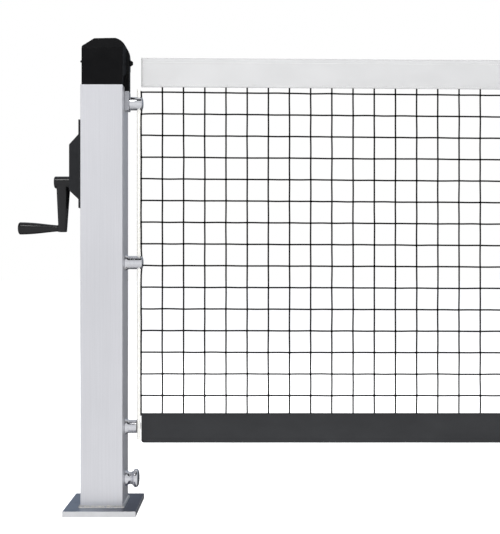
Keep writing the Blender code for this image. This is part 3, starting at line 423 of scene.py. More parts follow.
HEADBAND_FINISH = woven("vinyl_coated_polyester", 1.1 * MM, 0.05 * MM, "#c4c4c4", "#cacaca", 0.5)
BAND_FINISH = woven("charcoal_webbing", 1.4 * MM, 0.15 * MM, "#28292b", "#2e2f31", 0.85, 0.05)
WHITE_THREAD = woven("white_bonded_thread", 0.6 * MM, 0.05 * MM, "#dcdcda", "#ececea", 0.6)
DARK_THREAD = woven("black_bonded_thread", 0.6 * MM, 0.05 * MM, "#1c1c1e", "#28282a", 0.6)
print("made", HEADBAND_FINISH.name, BAND_FINISH.name, WHITE_THREAD.name, DARK_THREAD.name)


# %% Twisted cord
def twisted_cord():
    name, lay = "twisted_polyethylene_cord", math.radians(40)
    finish, tree, shader, place = new_finish(name, Roughness=0.62, Specular_IOR_Level=0.05)
    lean = add(tree, "Mapping", {"Vector": place, "Rotation": (0, lay, 0)}).outputs["Vector"]
    strands = add(tree, "TexWave", {"Vector": lean, "Scale": METRE_WAVE / (1.1 * MM)}).outputs["Fac"]
    fibres = grain(tree, place, 0.7 * MM)
    height = add(tree, "Math", {0: strands, 1: fibres}, operation="ADD").outputs["Value"]
    # Painted shade: the grooves between the strands are painted a shade darker than their crowns.
    tint = add(tree, "ValToRGB", {"Fac": strands}, [(0.1, "#000000"), (0.9, "#030303")])
    bump = add(tree, "Bump", {"Height": height, "Distance": 0.25 * MM, "Strength": 0.7})
    dress(tree, shader, tint, bump=bump)
    return finish


CORD_FINISH = twisted_cord()
print("made", CORD_FINISH.name)

# %% [markdown]
# ## Ways to make a piece
#
# A piece is a mesh that rides on one body of the frame and stands for one or more of its
# solids. Turned pieces come from a lathe function, which also rounds the corners of the
# profile. Flat pieces are the frame's own solids with their faces made whole and their
# edges rounded. Moulded pieces are remeshed as fine voxels and smoothed, which melts every
# edge and inside corner alike, as a mould does.


# %% Put a mesh in the scene
def piece(name, bm, finish, body, slot, *nodes, crease=35):
    """Makes a bmesh into a named piece that rides on a body and replaces those solids."""
    bmesh.ops.recalc_face_normals(bm, faces=bm.faces)
    mesh = bpy.data.meshes.new(name)
    bm.to_mesh(mesh)
    bm.free()
    mesh.shade_smooth()
    mesh.set_sharp_from_angle(angle=math.radians(crease))
    mesh.materials.append(finish)
    obj = bpy.data.objects.new(name, mesh)
    bpy.context.scene.collection.objects.link(obj)
    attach(obj, body)
    if nodes:
        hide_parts(*nodes)
    return obj


def settle(obj):
    """Applies the modifiers, so that the mesh is final."""
    final = bpy.data.meshes.new_from_object(obj.evaluated_get(bpy.context.evaluated_depsgraph_get()))
    obj.modifiers.clear()
    old = obj.data
    obj.data = final
    bpy.data.meshes.remove(old)
    return obj


print("ready to make pieces")


# %% [markdown]
# Blender has no lathe, but a ring of points per step of a profile, skinned with faces, is
# one. Rounding the profile's corners first gives every turned piece the small radii that a
# tool leaves.


# %% The lathe
def filleted(profile, radius, steps=4):
    """Rounds the inner corners of a profile of (radius, along) points, where there is room."""
    points = [Vector(p) for p in profile]
    smooth = [points[0]]
    for before, corner, after in zip(points, points[1:], points[2:]):
        back, on = before - corner, after - corner
        reach = min(radius, 0.45 * back.length, 0.45 * on.length)
        start, end = corner + back.normalized() * reach, corner + on.normalized() * reach
        for step in range(steps + 1):
            t = step / steps
            smooth.append(start * (1 - t) ** 2 + corner * 2 * t * (1 - t) + end * t**2)
    return [*smooth, points[-1]]


AXES = {"x": ((1, 0, 0), (0, 1, 0), (0, 0, 1)), "z": ((0, 0, 1), (1, 0, 0), (0, 1, 0))}


def lathe(profile, centre, axis, sides=72):
    """Turns (radius, place) points about an axis through centre. place is a coordinate on it."""
    bm = bmesh.new()
    rings = []
    along, u, v = (Vector(direction) for direction in AXES[axis])
    centre = Vector(centre)
    centre -= along * centre.dot(along)
    for radius, place in profile:
        spots = (centre + along * place + radius * (u * math.cos(a) + v * math.sin(a)) for a in turns(sides))
        rings.append([bm.verts.new(spot) for spot in spots])
    skin(bm, rings)
    return bm


def skin(bm, rings):
    """Joins closed rings of equal length side by side, and closes both ends."""
    for first, second in zip(rings, rings[1:]):
        for i in range(len(first)):
            j = (i + 1) % len(first)
            bm.faces.new((first[i], first[j], second[j], second[i]))
    bm.faces.new(rings[0])
    bm.faces.new(rings[-1])


def turns(sides):
    return (TURN * i / sides for i in range(sides))


print("lathe ready, 72 sides to a turn")


# %% [markdown]
# The frame's solids come as triangles with sharp edges. A Bevel modifier rounds flat
# pieces well once their faces are whole. It can't round where curved shapes meet, so
# moulded pieces go through a voxel Remesh and a Smooth instead.


# %% Rounded and moulded copies of the frame's solids
def solid_mesh(node):
    """A copy of the solid's mesh with its corners joined."""
    bm = bmesh.new()
    bm.from_mesh(frame["nodes"][node].data)
    bmesh.ops.remove_doubles(bm, verts=bm.verts, dist=0.002 * MM)
    return bm


def whole_faces(node):
    """The solid's mesh with its flat faces in one piece."""
    bm = solid_mesh(node)
    bmesh.ops.dissolve_limit(bm, angle_limit=math.radians(1), verts=bm.verts, edges=bm.edges)
    return bm


def rounded(node, finish, slot, edge, body="post", segments=3):
    """A flat-sided piece: the solid with every edge rounded by that many metres."""
    obj = piece(node + "_piece", whole_faces(node), finish, body, slot, node)
    if edge:
        bevel = obj.modifiers.new("edge", "BEVEL")
        bevel.width = edge
        bevel.segments = segments
        bevel.limit_method = "ANGLE"
        bevel.angle_limit = math.radians(40)
        obj.modifiers.new("shading", "WEIGHTED_NORMAL").keep_sharp = True
    return settle(obj)


def moulded(node, finish, slot, voxel, passes, body="post"):
    """A moulded piece: the solid remeshed and smoothed until its edges are round."""
    obj = piece(node + "_piece", solid_mesh(node), finish, body, slot, node, crease=180)
    remesh = obj.modifiers.new("remesh", "REMESH")
    remesh.mode = "VOXEL"
    remesh.voxel_size = voxel
    remesh.use_smooth_shade = True
    smooth = obj.modifiers.new("smooth", "SMOOTH")
    smooth.factor = 0.5
    smooth.iterations = passes
    return settle(obj)


print("rounded and moulded copies ready")

# %% [markdown]
# ## The foot and the post
#
# The plate's edges are broken with a file, so they get a small bevel. The post keeps the
# round corners of its die. The weld is a fillet swept round the post, and the welder's
# rhythm shows in it: every 3 mm the pool froze in a ripple, so the bead swells and sinks
# along its run.

# %% Foot and post
rounded("base_plate", PLATE_FINISH, "steel_plate", 0.9 * MM)
rounded("post_tube", POST_FINISH, "silver_post", 0)
rounded("head_bracket", SHADED_BRACKET_FINISH, "silver_post", 0.7 * MM)
print("plate, tube and bracket are in place")


# %% [markdown]
# The bead is a quarter round whose radius sways, swept along the outline of the post. Its
# path runs once round a square with small round corners.


# %% Weld bead
def square_path(half, corner, step):
    """Points and outward directions round a square with round corners."""
    straight = 2 * (half - corner)
    for quarter in range(4):
        turn = Matrix.Rotation(quarter * TURN / 4, 2)
        outward = turn @ Vector((1, 0))
        along = turn @ Vector((0, 1))
        count = int(straight / step)
        for i in range(count):
            yield outward * half + along * (straight * i / count - straight / 2), outward
        middle_of_turn = outward * (half - corner) + along * (half - corner)
        for i in range(6):
            lean = (Matrix.Rotation(i / 6 * TURN / 4, 2) @ outward).normalized()
            yield middle_of_turn + lean * corner, lean


def weld_bead():
    """A fillet of weld metal round the foot of the post, rippled every 3 mm."""
    floor = high("base_plate", "z")
    leg = high("foot_weld", "x") - POST_HALF
    path = list(square_path(POST_HALF + 0.05 * MM, 1.5 * MM, 0.6 * MM))
    bm = bmesh.new()
    rings = []
    for number, (spot, outward) in enumerate(path):
        ripple = 1 + 0.09 * abs(math.sin(number * 0.6 / 3 * math.pi))
        sway = 0.08 * noise.noise(Vector((spot.x, spot.y, 0)) * 90)
        size = leg * (0.7 + sway) * ripple
        section = [(0, 0)] + [(size * math.cos(a), size * math.sin(a) * 0.95) for a in bead_angles()]
        rings.append([bm.verts.new((*(spot + outward * out), floor + up)) for out, up in section])
    for first, second in zip(rings, rings[1:] + rings[:1]):
        for i in range(len(first)):
            j = (i + 1) % len(first)
            bm.faces.new((first[i], first[j], second[j], second[i]))
    return piece("foot_weld_bead", bm, WELD_FINISH, "post", "weld", "foot_weld", crease=60)


def bead_angles(steps=7):
    return (math.radians(90) * i / steps for i in range(steps + 1))


print("weld bead has", len(weld_bead().data.vertices), "points")

# %% [markdown]
# ## The cap and its fittings
#
# The cap is one ABS moulding, so it is remeshed and smoothed. The guide that the headline
# leaves through and the screw on the winch side are turned, with rounded corners. Where a
# size isn't in the box of a solid, it is named and given as a radius or a length.

# %% Cap
GUIDE_NECK = 5 * MM
GUIDE_BORE = 2.6 * MM
TOUCH = 0.2 * MM  # left between pieces that meet
moulded("cap_body", CAP_FINISH, "cap_plastic", 0.9 * MM, 6)


def cable_guide():
    left, right = low("cable_guide", "x"), high("cable_guide", "x")
    nose = high("cap_body", "x")
    head = high("cable_guide", "y")
    profile = [
        (GUIDE_BORE, right - 0.3 * MM),
        (GUIDE_BORE, left),
        (GUIDE_NECK, left),
        (GUIDE_NECK, nose + TOUCH),
        (head, nose + TOUCH),
        (head, nose + 1.2 * MM),
        (GUIDE_BORE + 0.7 * MM, right),
        (GUIDE_BORE + 0.1 * MM, right),
    ]
    bm = lathe(filleted(profile, 0.8 * MM), (0, middle("cable_guide", "y"), middle("cable_guide", "z")), "x")
    for face in [f for f in bm.faces if len(f.verts) > 4]:
        bm.faces.remove(face)
    bmesh.ops.bridge_loops(bm, edges=[e for e in bm.edges if e.is_boundary])
    return piece("cable_guide_bush", bm, CAP_FINISH, "post", "cap_plastic", "cable_guide")


def cap_screw():
    """A plastic screw with a pointed head that stands against the side of the cap."""
    tip, wall = low("cap_screw", "x"), low("cap_body", "x") - TOUCH
    head = high("cap_screw", "y")
    back = [(head * 0.6, wall), (head, wall)]
    profile = [*back, (head, wall - 1.6 * MM), (head * 0.35, tip), (head * 0.1, tip)]
    spot = (0, middle("cap_screw", "y"), middle("cap_screw", "z"))
    bm = lathe(filleted(profile, 0.8 * MM), spot, "x", 48)
    return piece("cap_screw_head", bm, CAP_FINISH, "post", "cap_plastic", "cap_screw")


cable_guide()
cap_screw()
print("cap, guide and screw made")

# %% [markdown]
# ## The winch
#
# The cover and its flange are folded and pressed steel, so their edges are rounded and
# their faces stay flat. The screws stay countersunk as the frame has them.

# %% Winch cover and flange
rounded("winch_housing", WINCH_FINISH, "winch_coat", 1.4 * MM, segments=4)
rounded("winch_flange", WINCH_FINISH, "winch_coat", 0.5 * MM)
print("winch cover and flange made")

# %% [markdown]
# ## The crank
#
# Boss and arm are one nylon moulding with a soft fillet between them, which the voxels
# give. The grip is a long club, thin at the neck and full at the end. It turns on its
# spindle, so it rides on a body of its own.

# %% Crank arm and grip
GRIP_NECK = 6.5 * MM
moulded("crank_arm", CRANK_FINISH, "crank_plastic", 0.7 * MM, 8, "crank")


def grip():
    neck_x, end_x = high("crank_grip", "x"), low("crank_grip", "x")
    full = high("crank_grip", "y")
    length = neck_x - end_x - 3 * MM
    profile = [(4 * MM, neck_x), (GRIP_NECK, neck_x)]
    for step in range(1, 25):
        share = step / 24
        swell = math.sin(share * math.pi / 2) ** 1.3
        profile.append((GRIP_NECK + (full - GRIP_NECK) * swell, neck_x - share * length))
    profile += [(full - 0.9 * MM, end_x + 1.2 * MM), (full - 3.4 * MM, end_x), (3 * MM, end_x)]
    bm = lathe(profile, (0, middle("crank_grip", "y"), middle("crank_grip", "z")), "x")
    return piece("crank_grip_handle", bm, CRANK_FINISH, "grip", "crank_plastic", "crank_grip")


grip()
print("crank arm and grip made")

# %% [markdown]
# ## Studs and rod
#
# The studs are turned from bar: a collar that flares to the post, a plain body and a
# rounded tip. Each is then drilled across, or notched, for the rod. The drill is a hidden
# cylinder taken away with a Boolean, so the hole has a real edge.


# %% Lacing studs
SHANK = 6 * MM  # the part inside the post
STUD_BODY = 13.4 * MM


def drilled(obj, cutter_mesh):
    """Takes a helper mesh away from a piece, and removes the helper."""
    helper = bpy.data.objects.new("helper", cutter_mesh)
    bpy.context.scene.collection.objects.link(helper)
    cut = obj.modifiers.new("cut", "BOOLEAN")
    cut.operation = "DIFFERENCE"
    cut.object = helper
    settle(obj)
    bpy.data.objects.remove(helper)
    obj.data.set_sharp_from_angle(angle=math.radians(35))
    return obj


def helper_mesh(bm):
    bmesh.ops.recalc_face_normals(bm, faces=bm.faces)
    mesh = bpy.data.meshes.new("helper")
    bm.to_mesh(mesh)
    bm.free()
    return mesh


ROD_RADIUS = high("lacing_rod", "y")
ROD_X = middle("lacing_rod", "x")
ROD_ROOM = 0.3 * MM  # between the rod and its hole


def rod_hole(node):
    z = middle(node, "z")
    profile = ((ROD_RADIUS + ROD_ROOM, z - 30 * MM), (ROD_RADIUS + ROD_ROOM, z + 30 * MM))
    return lathe(profile, (ROD_X, 0, 0), "z", 48)


def rod_notch(node):
    """A slot for the rod that is open to the front, towards -Y, and to the tip."""
    z, seat = middle(node, "z"), ROD_RADIUS + ROD_ROOM
    bm = bmesh.new()
    bmesh.ops.create_cube(bm, size=1)
    size = Vector((4 * seat, 40 * MM, 60 * MM))
    centre = Vector((ROD_X - seat + size.x / 2, seat - size.y / 2, z))
    bmesh.ops.scale(bm, vec=size, verts=bm.verts)
    bmesh.ops.translate(bm, vec=centre, verts=bm.verts)
    return bm


def lacing_stud(word):
    """One stud. The top one stands on the bracket, which takes the place of its collar."""
    node = "lacing_stud_" + word
    body, collar = STUD_BODY, high(node, "y")
    start, tip = low(node, "x"), high(node, "x")
    if word == "top":
        root = high("head_bracket", "x") + TOUCH
        flare = [(body, root)]
    else:
        root = POST_HALF + TOUCH
        flare = [
            (collar, root),
            (collar, root + 1.6 * MM),
            (body + 1 * MM, root + 4.6 * MM),
            (body, root + 7 * MM),
        ]
    end = [
        (body, tip - 5 * MM),
        (body - 0.6 * MM, tip - 2.6 * MM),
        (body - 2.2 * MM, tip - 0.8 * MM),
        (body - 5 * MM, tip),
    ]
    profile = [(SHANK, start), (SHANK, root), *flare, *end]
    bm = lathe(filleted(profile, 1.4 * MM), (0, 0, middle(node, "z")), "x", 96)
    obj = piece(f"chrome_stud_{word}", bm, CHROME_FINISH, "post", "stud_chrome", node)
    return drilled(obj, helper_mesh(rod_notch(node) if word == "bottom" else rod_hole(node)))


for height in ("top", "middle", "bottom"):
    print("stud", height, "has", len(lacing_stud(height).data.polygons), "faces")


# %% [markdown]
# The tie-off stud is a mushroom, so that a line wound on it can't slip off. The rod is a
# plain round bar with rounded ends.


# %% Tie-off stud and rod
TIE_COLLAR = 16.4 * MM
TIE_NECK = 12.2 * MM
TIE_HEAD_LENGTH = 12 * MM


def tie_stud():
    """The mushroom that the tail of the lacing line is wound on."""
    node = "tie_off_stud"
    head, start, tip = high(node, "y"), low(node, "x"), high(node, "x")
    root = POST_HALF + TOUCH
    under = tip - TIE_HEAD_LENGTH
    profile = [
        (SHANK, start),
        (SHANK, root),
        (TIE_COLLAR, root),
        (TIE_COLLAR, root + 1.6 * MM),
        (TIE_NECK + 0.8 * MM, root + 6.5 * MM),
        (TIE_NECK, root + 10 * MM),
        (TIE_NECK + 0.8 * MM, under - 0.5 * MM),
        (head - 1 * MM, under + 2.2 * MM),
        (head, under + 5 * MM),
        (head - 0.8 * MM, tip - 2.4 * MM),
        (head - 5 * MM, tip - 0.2 * MM),
        (head - 9 * MM, tip),
    ]
    bm = lathe(filleted(profile, 2.2 * MM), (0, 0, middle(node, "z")), "x", 96)
    return piece("chrome_tie_off_stud", bm, CHROME_FINISH, "post", "stud_chrome", node)


def rod():
    bottom, top = low("lacing_rod", "z"), high("lacing_rod", "z")
    profile = [(1 * MM, bottom), (ROD_RADIUS, bottom), (ROD_RADIUS, top), (1 * MM, top)]
    bm = lathe(filleted(profile, 1 * MM), (ROD_X, 0, 0), "z", 48)
    return piece("white_lacing_rod", bm, ROD_FINISH, "post", "white_rod", "lacing_rod")


tie_stud()
rod()
print("tie-off stud and rod made")

# %% [markdown]
# ## The net
#
# The mesh is 19 upright cords and 15 rows, tied where they cross. Each cord is a tube
# along a path that wanders by half a millimetre, because a soft cord is never ruled
# straight. The rows hang a little towards the free end. Where a stud's tip reaches the
# first cord, the cord passes behind it, so its path bows back there.

# %% Net layout
COLUMNS = 19
ROWS = 15
CORD_RADIUS = 1.6 * MM  # a tied cord swells where its strands open
CORD_HALF = high("net_mesh", "y")
FIRST_X = low("net_mesh", "x") + CORD_HALF
LAST_X = high("net_mesh", "x") - CORD_HALF
COLUMN_PITCH = (LAST_X - FIRST_X) / (COLUMNS - 1)
ROW_PITCH = 44.1 * MM
HEAD_EDGE = POST_TOP + 3 * MM  # lower edge of the headband at the rod
TOP_ROW = HEAD_EDGE - 10 * MM
BAND_EDGE = high("net_bottom_band", "z")
ROW_DROOP = 7.5 * MM
HEAD_DROOP = 5 * MM
WANDER = 0.6 * MM
CORD_STEP = 3.5 * MM  # between the points of a cord's path
STUD_BOW = 16 * MM  # how far the first cord bows back behind a stud


def share_along(x):
    return (x - FIRST_X) / (LAST_X - FIRST_X)


def hang(x, z):
    """How far a point of the net hangs down: nothing at the rod or the bottom band."""
    return ROW_DROOP * share_along(x) * max(0.0, (z - BAND_EDGE) / (TOP_ROW - BAND_EDGE))


def wander(x, z):
    """The small stray of the cords, the same for every cord through one crossing."""
    spot = Vector((x * 21, 3.7, z * 21))
    sideways, forward, upright = (noise.noise(v) for v in (spot, spot + Vector((9, 0, 0)), spot * 1.3))
    return WANDER * Vector((sideways, 0.6 * forward, upright))


def behind_studs(x, z):
    """How far a cord bows back to pass behind the tips of the studs."""
    if x > FIRST_X + COLUMN_PITCH / 2:
        return 0.0
    heights = (middle("lacing_stud_" + word, "z") for word in ("top", "middle"))
    bow = max(math.exp(-(((z - height) / (17 * MM)) ** 2)) for height in heights)
    return STUD_BOW * bow * math.exp(-(((x - FIRST_X) / (9 * MM)) ** 2))


def net_point(x, z):
    stray = wander(x, z)
    return Vector((x, behind_studs(x, z), z - hang(x, z))) + stray


print(f"{COLUMNS} columns {COLUMN_PITCH / MM:.1f} mm apart, {ROWS} rows {ROW_PITCH / MM:.1f} mm apart")


# %% [markdown]
# A cord is a tube: a ring of eight points at each step of its path, square to the way that
# the path runs. A knot is a small ball with a lumpy surface. All of them share one mesh,
# because there are hundreds.


# %% Cords and knots
def tube(bm, path, radius, sides=8):
    """A round tube along a path, with closed ends."""
    rings = []
    reference = Vector((0, 1, 0))
    for i, spot in enumerate(path):
        ahead = (path[min(i + 1, len(path) - 1)] - path[max(i - 1, 0)]).normalized()
        side = ahead.cross(reference).normalized()
        up = side.cross(ahead)
        ring = (spot + radius * (side * math.cos(a) + up * math.sin(a)) for a in turns(sides))
        rings.append([bm.verts.new(point) for point in ring])
    skin(bm, rings)


def span(start, end, step):
    count = max(2, round(abs(end - start) / step))
    return [start + (end - start) * i / count for i in range(count + 1)]


def knot(bm, spot, seed):
    """A tied crossing: a small lumpy ball, flatter from front to back."""
    rings = []
    for step in range(1, 6):
        tilt = math.pi * (step / 6 - 0.5)
        ring = []
        for a in turns(8):
            out = Vector((math.cos(tilt) * math.cos(a), math.cos(tilt) * math.sin(a), math.sin(tilt)))
            lump = 1 + 0.22 * noise.noise(out * 1.9 + Vector((seed, 0, 0)))
            ring.append(bm.verts.new(spot + lump * Vector((2.7 * out.x, 2.1 * out.y, 2.5 * out.z)) * MM))
        rings.append(ring)
    skin(bm, rings)


def net_cords():
    bm = bmesh.new()
    heights = [TOP_ROW - row * ROW_PITCH for row in range(ROWS)]
    places = [FIRST_X + column * COLUMN_PITCH for column in range(COLUMNS)]
    for number, x in enumerate(places):
        inside_headband = HEAD_EDGE - HEAD_DROOP * share_along(x) + hang(x, TOP_ROW) + 4 * MM
        top = TOP_ROW if number == 0 else inside_headband
        bottom = BAND_EDGE - 5 * MM
        tube(bm, [net_point(x, z) for z in span(bottom, top, CORD_STEP)], CORD_RADIUS)
    for z in heights:
        tube(bm, [net_point(x, z) for x in span(FIRST_X, LAST_X, CORD_STEP)], CORD_RADIUS)
    for number, x in enumerate(places):
        for row, z in enumerate(heights):
            knot(bm, net_point(x, z), number * ROWS + row)
    return piece("net_cords", bm, CORD_FINISH, "post", "net_cord", "net_mesh", crease=80)


print("net cords have", len(net_cords().data.vertices), "points")

# %% [markdown]
# ## The headband and the bottom band
#
# Both bands are one strip folded double over an edge of the net and sewn. The strip is a
# sheet swept along the net in the shape of its fold, given its real thickness with
# Solidify. The headband swells at its top round the cord inside it, and a row of stitches
# closes that tunnel. Cloth under tension still ripples a little, so the sweep does too.


# %% Folded bands
RIPPLE = 0.7 * MM


def ripple(x, z):
    """How far a band stands out of its plane: long waves along it, shorter ones across."""
    return RIPPLE * noise.noise(Vector((x * 9, 0.0, z * 16)))


def swept_band(bm, section, xs, drop, lowest):
    """Sweeps a section of (y, z) points along the net. lowest gives the least height at x."""
    rings = []
    for x in xs:
        ring = []
        for y, z in section:
            ring.append(bm.verts.new((x, y + ripple(x, z), max(z - drop(x), lowest(x)))))
        rings.append(ring)
    for first, second in zip(rings, rings[1:]):
        for i in range(len(first) - 1):
            bm.faces.new((first[i], first[i + 1], second[i + 1], second[i]))


def thicken(obj, thickness):
    solid = obj.modifiers.new("cloth", "SOLIDIFY")
    solid.thickness = thickness
    solid.offset = 0
    return settle(obj)


def headband_drop(x):
    return HEAD_DROOP * max(0.0, share_along(x))


HEAD_TOP = high("net_headband", "z")
HEAD_HALF = 1.5 * MM
TUNNEL = 3.1 * MM  # radius of the tunnel for the cord, at the top
TUNNEL_SEAM = 9 * MM  # from the top down to the stitches that close it


def headband_section():
    """From the lower front edge up, round the tunnel, and down the back."""
    centre = HEAD_TOP - TUNNEL
    rise = [(-HEAD_HALF, z) for z in span(HEAD_EDGE, HEAD_TOP - TUNNEL_SEAM, 5 * MM)]
    neck = [(-HEAD_HALF - 0.3 * MM, HEAD_TOP - TUNNEL_SEAM + 1.6 * MM)]
    loop = [(-TUNNEL * math.cos(a), centre + TUNNEL * math.sin(a)) for a in bead_angles(10)]
    front = rise + neck + loop
    return front + [(-y, z) for y, z in reversed(front[:-1])]


def headband():
    bm = bmesh.new()
    xs = span(NET_LEFT, NET_RIGHT, 5 * MM)
    swept_band(bm, headband_section(), xs, headband_drop, lambda x: 0.0)
    obj = piece("headband_tape", bm, HEADBAND_FINISH, "post", "headband_tape", "net_headband", crease=60)
    return thicken(obj, 0.8 * MM)


HEADBAND = headband()
print("headband stands", round((HEAD_TOP - HEAD_EDGE) / MM, 1), "mm high at the rod")

# %% [markdown]
# The bottom band folds the other way, with its open edges at the top, and its corner at
# the rod is cut round.

# %% Bottom band
BAND_LOW = low("net_bottom_band", "z")
BAND_HALF = 1.5 * MM
BAND_CORNER = 6 * MM


def corner_height(x):
    """The band's lower corner at the rod is cut round."""
    inward = max(0.0, NET_LEFT + BAND_CORNER - x)
    return BAND_LOW + BAND_CORNER - math.sqrt(max(0.0, BAND_CORNER**2 - inward**2))


def bottom_section():
    """From the upper front edge down, round the fold, and up the back."""
    fall = [(-BAND_HALF, z) for z in span(BAND_EDGE, BAND_LOW + BAND_HALF, 3 * MM)]
    fold = [(-BAND_HALF * math.cos(a), BAND_LOW + BAND_HALF * (1 - math.sin(a))) for a in bead_angles(5)]
    front = fall[:-1] + fold
    return front + [(-y, z) for y, z in reversed(front[:-1])]


def bottom_band():
    bm = bmesh.new()
    start = span(NET_LEFT, NET_LEFT + BAND_CORNER, 0.75 * MM)
    xs = start + span(NET_LEFT + BAND_CORNER, NET_RIGHT, 5 * MM)[1:]
    swept_band(bm, bottom_section(), xs, lambda x: 0.0, corner_height)
    obj = piece("bottom_tape", bm, BAND_FINISH, "post", "bottom_tape", "net_bottom_band", crease=60)
    return thicken(obj, 0.9 * MM)


BOTTOM_BAND = bottom_band()
print("bottom band is", round((BAND_EDGE - BAND_LOW) / MM, 1), "mm high")

# %% [markdown]
# ## Stitches
#
# A lockstitch shows as short dashes of thread, each pulled a little into the cloth at its
# ends. Every dash is a small spindle with six sides, repeated along the seam on both
# faces of the band.


# %% Stitch rows
def stitch(bm, start, end, radius, bulge):
    """One dash of thread from start to end, standing out by bulge in its middle."""
    outline = ((0.0, 0.35), (0.2, 0.9), (0.5, 1.0), (0.8, 0.9), (1.0, 0.35))
    rings = []
    ahead = (end - start).normalized()
    side = ahead.cross(Vector((0, 1, 0))).normalized()
    up = side.cross(ahead)
    for share, width in outline:
        spot = start.lerp(end, share) + bulge * math.sin(share * math.pi)
        ring = (spot + radius * width * (side * math.cos(a) + up * math.sin(a)) for a in turns(6))
        rings.append([bm.verts.new(v) for v in ring])
    skin(bm, rings)


def seam(name, finish, slot, heights, face, drop, length=3.2 * MM, pitch=4.2 * MM, radius=0.35 * MM):
    """Rows of stitches along the net at those heights, on both faces of a band."""
    bm = bmesh.new()
    count = int((NET_RIGHT - NET_LEFT - 6 * MM) / pitch)
    for z in heights:
        for number in range(count):
            x = NET_LEFT + 4 * MM + number * pitch
            for side in (-1, 1):
                ends = []
                for place in (x, x + length):
                    ends.append(Vector((place, side * face + ripple(place, z), z - drop(place))))
                stitch(bm, *ends, radius, Vector((0, side * 0.15 * MM, 0)))
    return piece(name, bm, finish, "post", slot, crease=80)


HEAD_SEAMS = seam(
    "headband_stitches",
    WHITE_THREAD,
    "headband_tape",
    (HEAD_TOP - TUNNEL_SEAM, HEAD_EDGE + 4 * MM),
    HEAD_HALF + 0.45 * MM,
    headband_drop,
)
BAND_SEAMS = seam(
    "bottom_band_stitches",
    DARK_THREAD,
    "bottom_tape",
    (BAND_EDGE - 3.5 * MM, BAND_LOW + 5 * MM),
    BAND_HALF + 0.5 * MM,
    lambda x: 0.0,
)
print("stitched", HEAD_SEAMS.name, "and", BAND_SEAMS.name)

# %% [markdown]
# Both strips are as long as this end of the net, and twice as wide as the band they
# fold into.

# %% [markdown]
# ## The pieces that keep their frame shape
#
# Gears, shafts, nuts and screws are right as they are. They only need their metal.

# %% Finishes on the frame's own solids
KEPT = {
    ZINC_FINISH: (
        "axle_clip cable_drum crank_set_screw drive_pin drum_axle flange_screw_1 flange_screw_2 "
        "flange_screw_3 flange_screw_4 frame_rivet_lower frame_rivet_upper grip_spindle pulley_axle "
        "stud_nut_bottom stud_nut_foot stud_nut_middle stud_nut_top winch_frame worm_shaft"
    ),
    BRONZE_FINISH: "pulley_bush worm_bush_inner worm_bush_outer worm_wheel",
    NYLON_FINISH: "pulley_wheel",
}
for finish, names in KEPT.items():
    for name in names.split():
        node = frame["nodes"][name]
        node.data.materials.clear()
        node.data.materials.append(finish)
print("gave finishes to", sum(len(names.split()) for names in KEPT.values()), "kept solids")

# %% [markdown]
# ## Floor, light and camera
#
# Sports gear in a catalogue is lit to float on white. The floor is white and
# glows a little, so it joins the white surround with hardly a shadow. The surround that
# the metal mirrors is another matter: bright in front, with a dark flag above for the
# chrome to show its roundness, and dark blue-grey at the back, which turns the post's
# narrow side and the top of the foot dark.


# %% Floor
def studio_floor():
    bm = bmesh.new()
    bmesh.ops.create_grid(bm, x_segments=1, y_segments=1, size=30)
    mesh = bpy.data.meshes.new("studio_floor")
    bm.to_mesh(mesh)
    bm.free()
    floor = bpy.data.objects.new("studio_floor", mesh)
    floor.location.z = -0.3 * MM
    bpy.context.scene.collection.objects.link(floor)
    finish, _, shader, _ = new_finish("white_studio_floor", Roughness=0.9)
    shader.inputs["Base Color"].default_value = linear("#f4f4f4")
    shader.inputs["Emission Color"].default_value = linear("#ffffff")
    shader.inputs["Emission Strength"].default_value = 0.72
    mesh.materials.append(finish)
    floor.visible_glossy = False
    return floor


print("floor at", round(studio_floor().location.z / MM, 2), "mm")


# %% [markdown]
# The surround is a sky of greys, one ramp from straight down to straight up for the half
# in front and one for the half behind. Only reflections and soft light see it. The camera
# sees plain white.

# %% Surround
FRONT_GREYS = [
    (0.0, "#cfcfd1"),
    (0.36, "#e2e3e6"),
    (0.5, "#e2e3e6"),
    (0.62, "#d2d3d6"),
    (0.8, "#d8d9dc"),
    (0.85, "#2c2d31"),
    (0.97, "#2c2d31"),
    (1.0, "#d8d9dc"),
]
BACK_GREYS = [
    (0.0, "#5c5c60"),
    (0.42, "#4c4e53"),
    (0.54, "#7a7e85"),
    (0.6, "#8a8f98"),
    (0.66, "#727c8a"),
    (1.0, "#d8d9dc"),
]


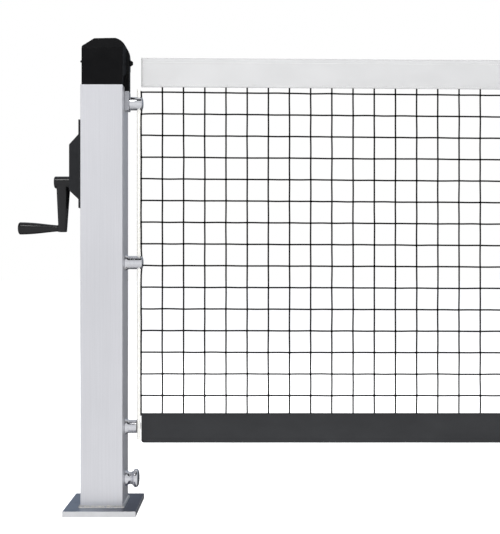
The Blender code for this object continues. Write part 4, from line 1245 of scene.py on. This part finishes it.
def surround():
    """White to the camera. To the surfaces, bright in front and dark blue-grey behind."""
    world = bpy.data.worlds.new("studio")
    world.use_nodes = True
    tree = world.node_tree
    background = tree.nodes["Background"]
    axes = add(tree, "SeparateXYZ", {"Vector": add(tree, "TexCoord").outputs["Generated"]})
    climb = add(tree, "MapRange", {"Value": axes.outputs["Z"], "From Min": -1}).outputs["Result"]
    front = add(tree, "ValToRGB", {"Fac": climb}, FRONT_GREYS).outputs["Color"]
    back = add(tree, "ValToRGB", {"Fac": climb}, BACK_GREYS).outputs["Color"]
    depth = add(tree, "MapRange", {"Value": axes.outputs["Y"], "From Min": -0.15, "From Max": 0.5})
    greys = {0: depth.outputs["Result"], MIX_A: front, MIX_B: back}
    mirrored = add(tree, "Mix", greys, data_type="RGBA").outputs[MIX_RESULT]
    is_camera = add(tree, "LightPath").outputs["Is Camera Ray"]
    seen = {0: is_camera, MIX_A: mirrored, MIX_B: linear("#ffffff")}
    colour = add(tree, "Mix", seen, data_type="RGBA")
    tree.links.new(colour.outputs[MIX_RESULT], background.inputs["Color"])
    bpy.context.scene.world = world


surround()
print("surround made")


# %% [markdown]
# Soft lamps give the light that falls on cloth and plastic. All but one are hidden from
# reflections, since a lamp mirrored in the post would show as a hot spot. The small one
# above the crank shows, and draws the highlights on its round shapes.


# %% Lamps
def softbox(name, place, aim, size, power, shows=True):
    lamp = bpy.data.lights.new(name, "AREA")
    lamp.shape = "RECTANGLE"
    lamp.size, lamp.size_y = size
    lamp.energy = power
    obj = bpy.data.objects.new(name, lamp)
    obj.location = place
    obj.rotation_euler = (Vector(aim) - Vector(place)).to_track_quat("-Z", "Y").to_euler()
    obj.visible_glossy = shows
    bpy.context.scene.collection.objects.link(obj)
    return obj


softbox("key", (-1.3, -2.0, 1.9), (0, 0, 0.6), (1.0, 1.4), 26, shows=False)
softbox("highlight", (-0.5, -1.3, 2.3), (-0.1, 0, 0.6), (0.5, 0.5), 5.5)
softbox("fill", (1.8, -2.4, 1.0), (0.4, 0, 0.5), (1.6, 1.6), 14, shows=False)
softbox("ceiling", (0.3, -0.2, 3.0), (0.3, 0, 0), (3.0, 3.0), 40, shows=False)
softbox("rear", (0.2, 2.4, 2.2), (0.2, 0, 0.5), (2.4, 1.6), 30, shows=False)
print("five soft lamps")

# %% [markdown]
# The camera looks straight along +Y, level, from 1.84 m in front of the post and from
# just over half its height, with a moderate long lens. The net runs out of view on
# the right.


# %% Camera
def camera():
    eye = bpy.data.cameras.new("camera")
    eye.lens = 60.98
    eye.sensor_width = 36
    obj = bpy.data.objects.new("camera", eye)
    obj.location = (0.2955, -1.840, 0.489)
    obj.rotation_euler = (math.radians(90), 0, 0)
    bpy.context.scene.collection.objects.link(obj)
    bpy.context.scene.camera = obj
    bpy.context.scene.view_settings.view_transform = "Standard"
    return obj


print("camera at", [round(v, 3) for v in camera().location])
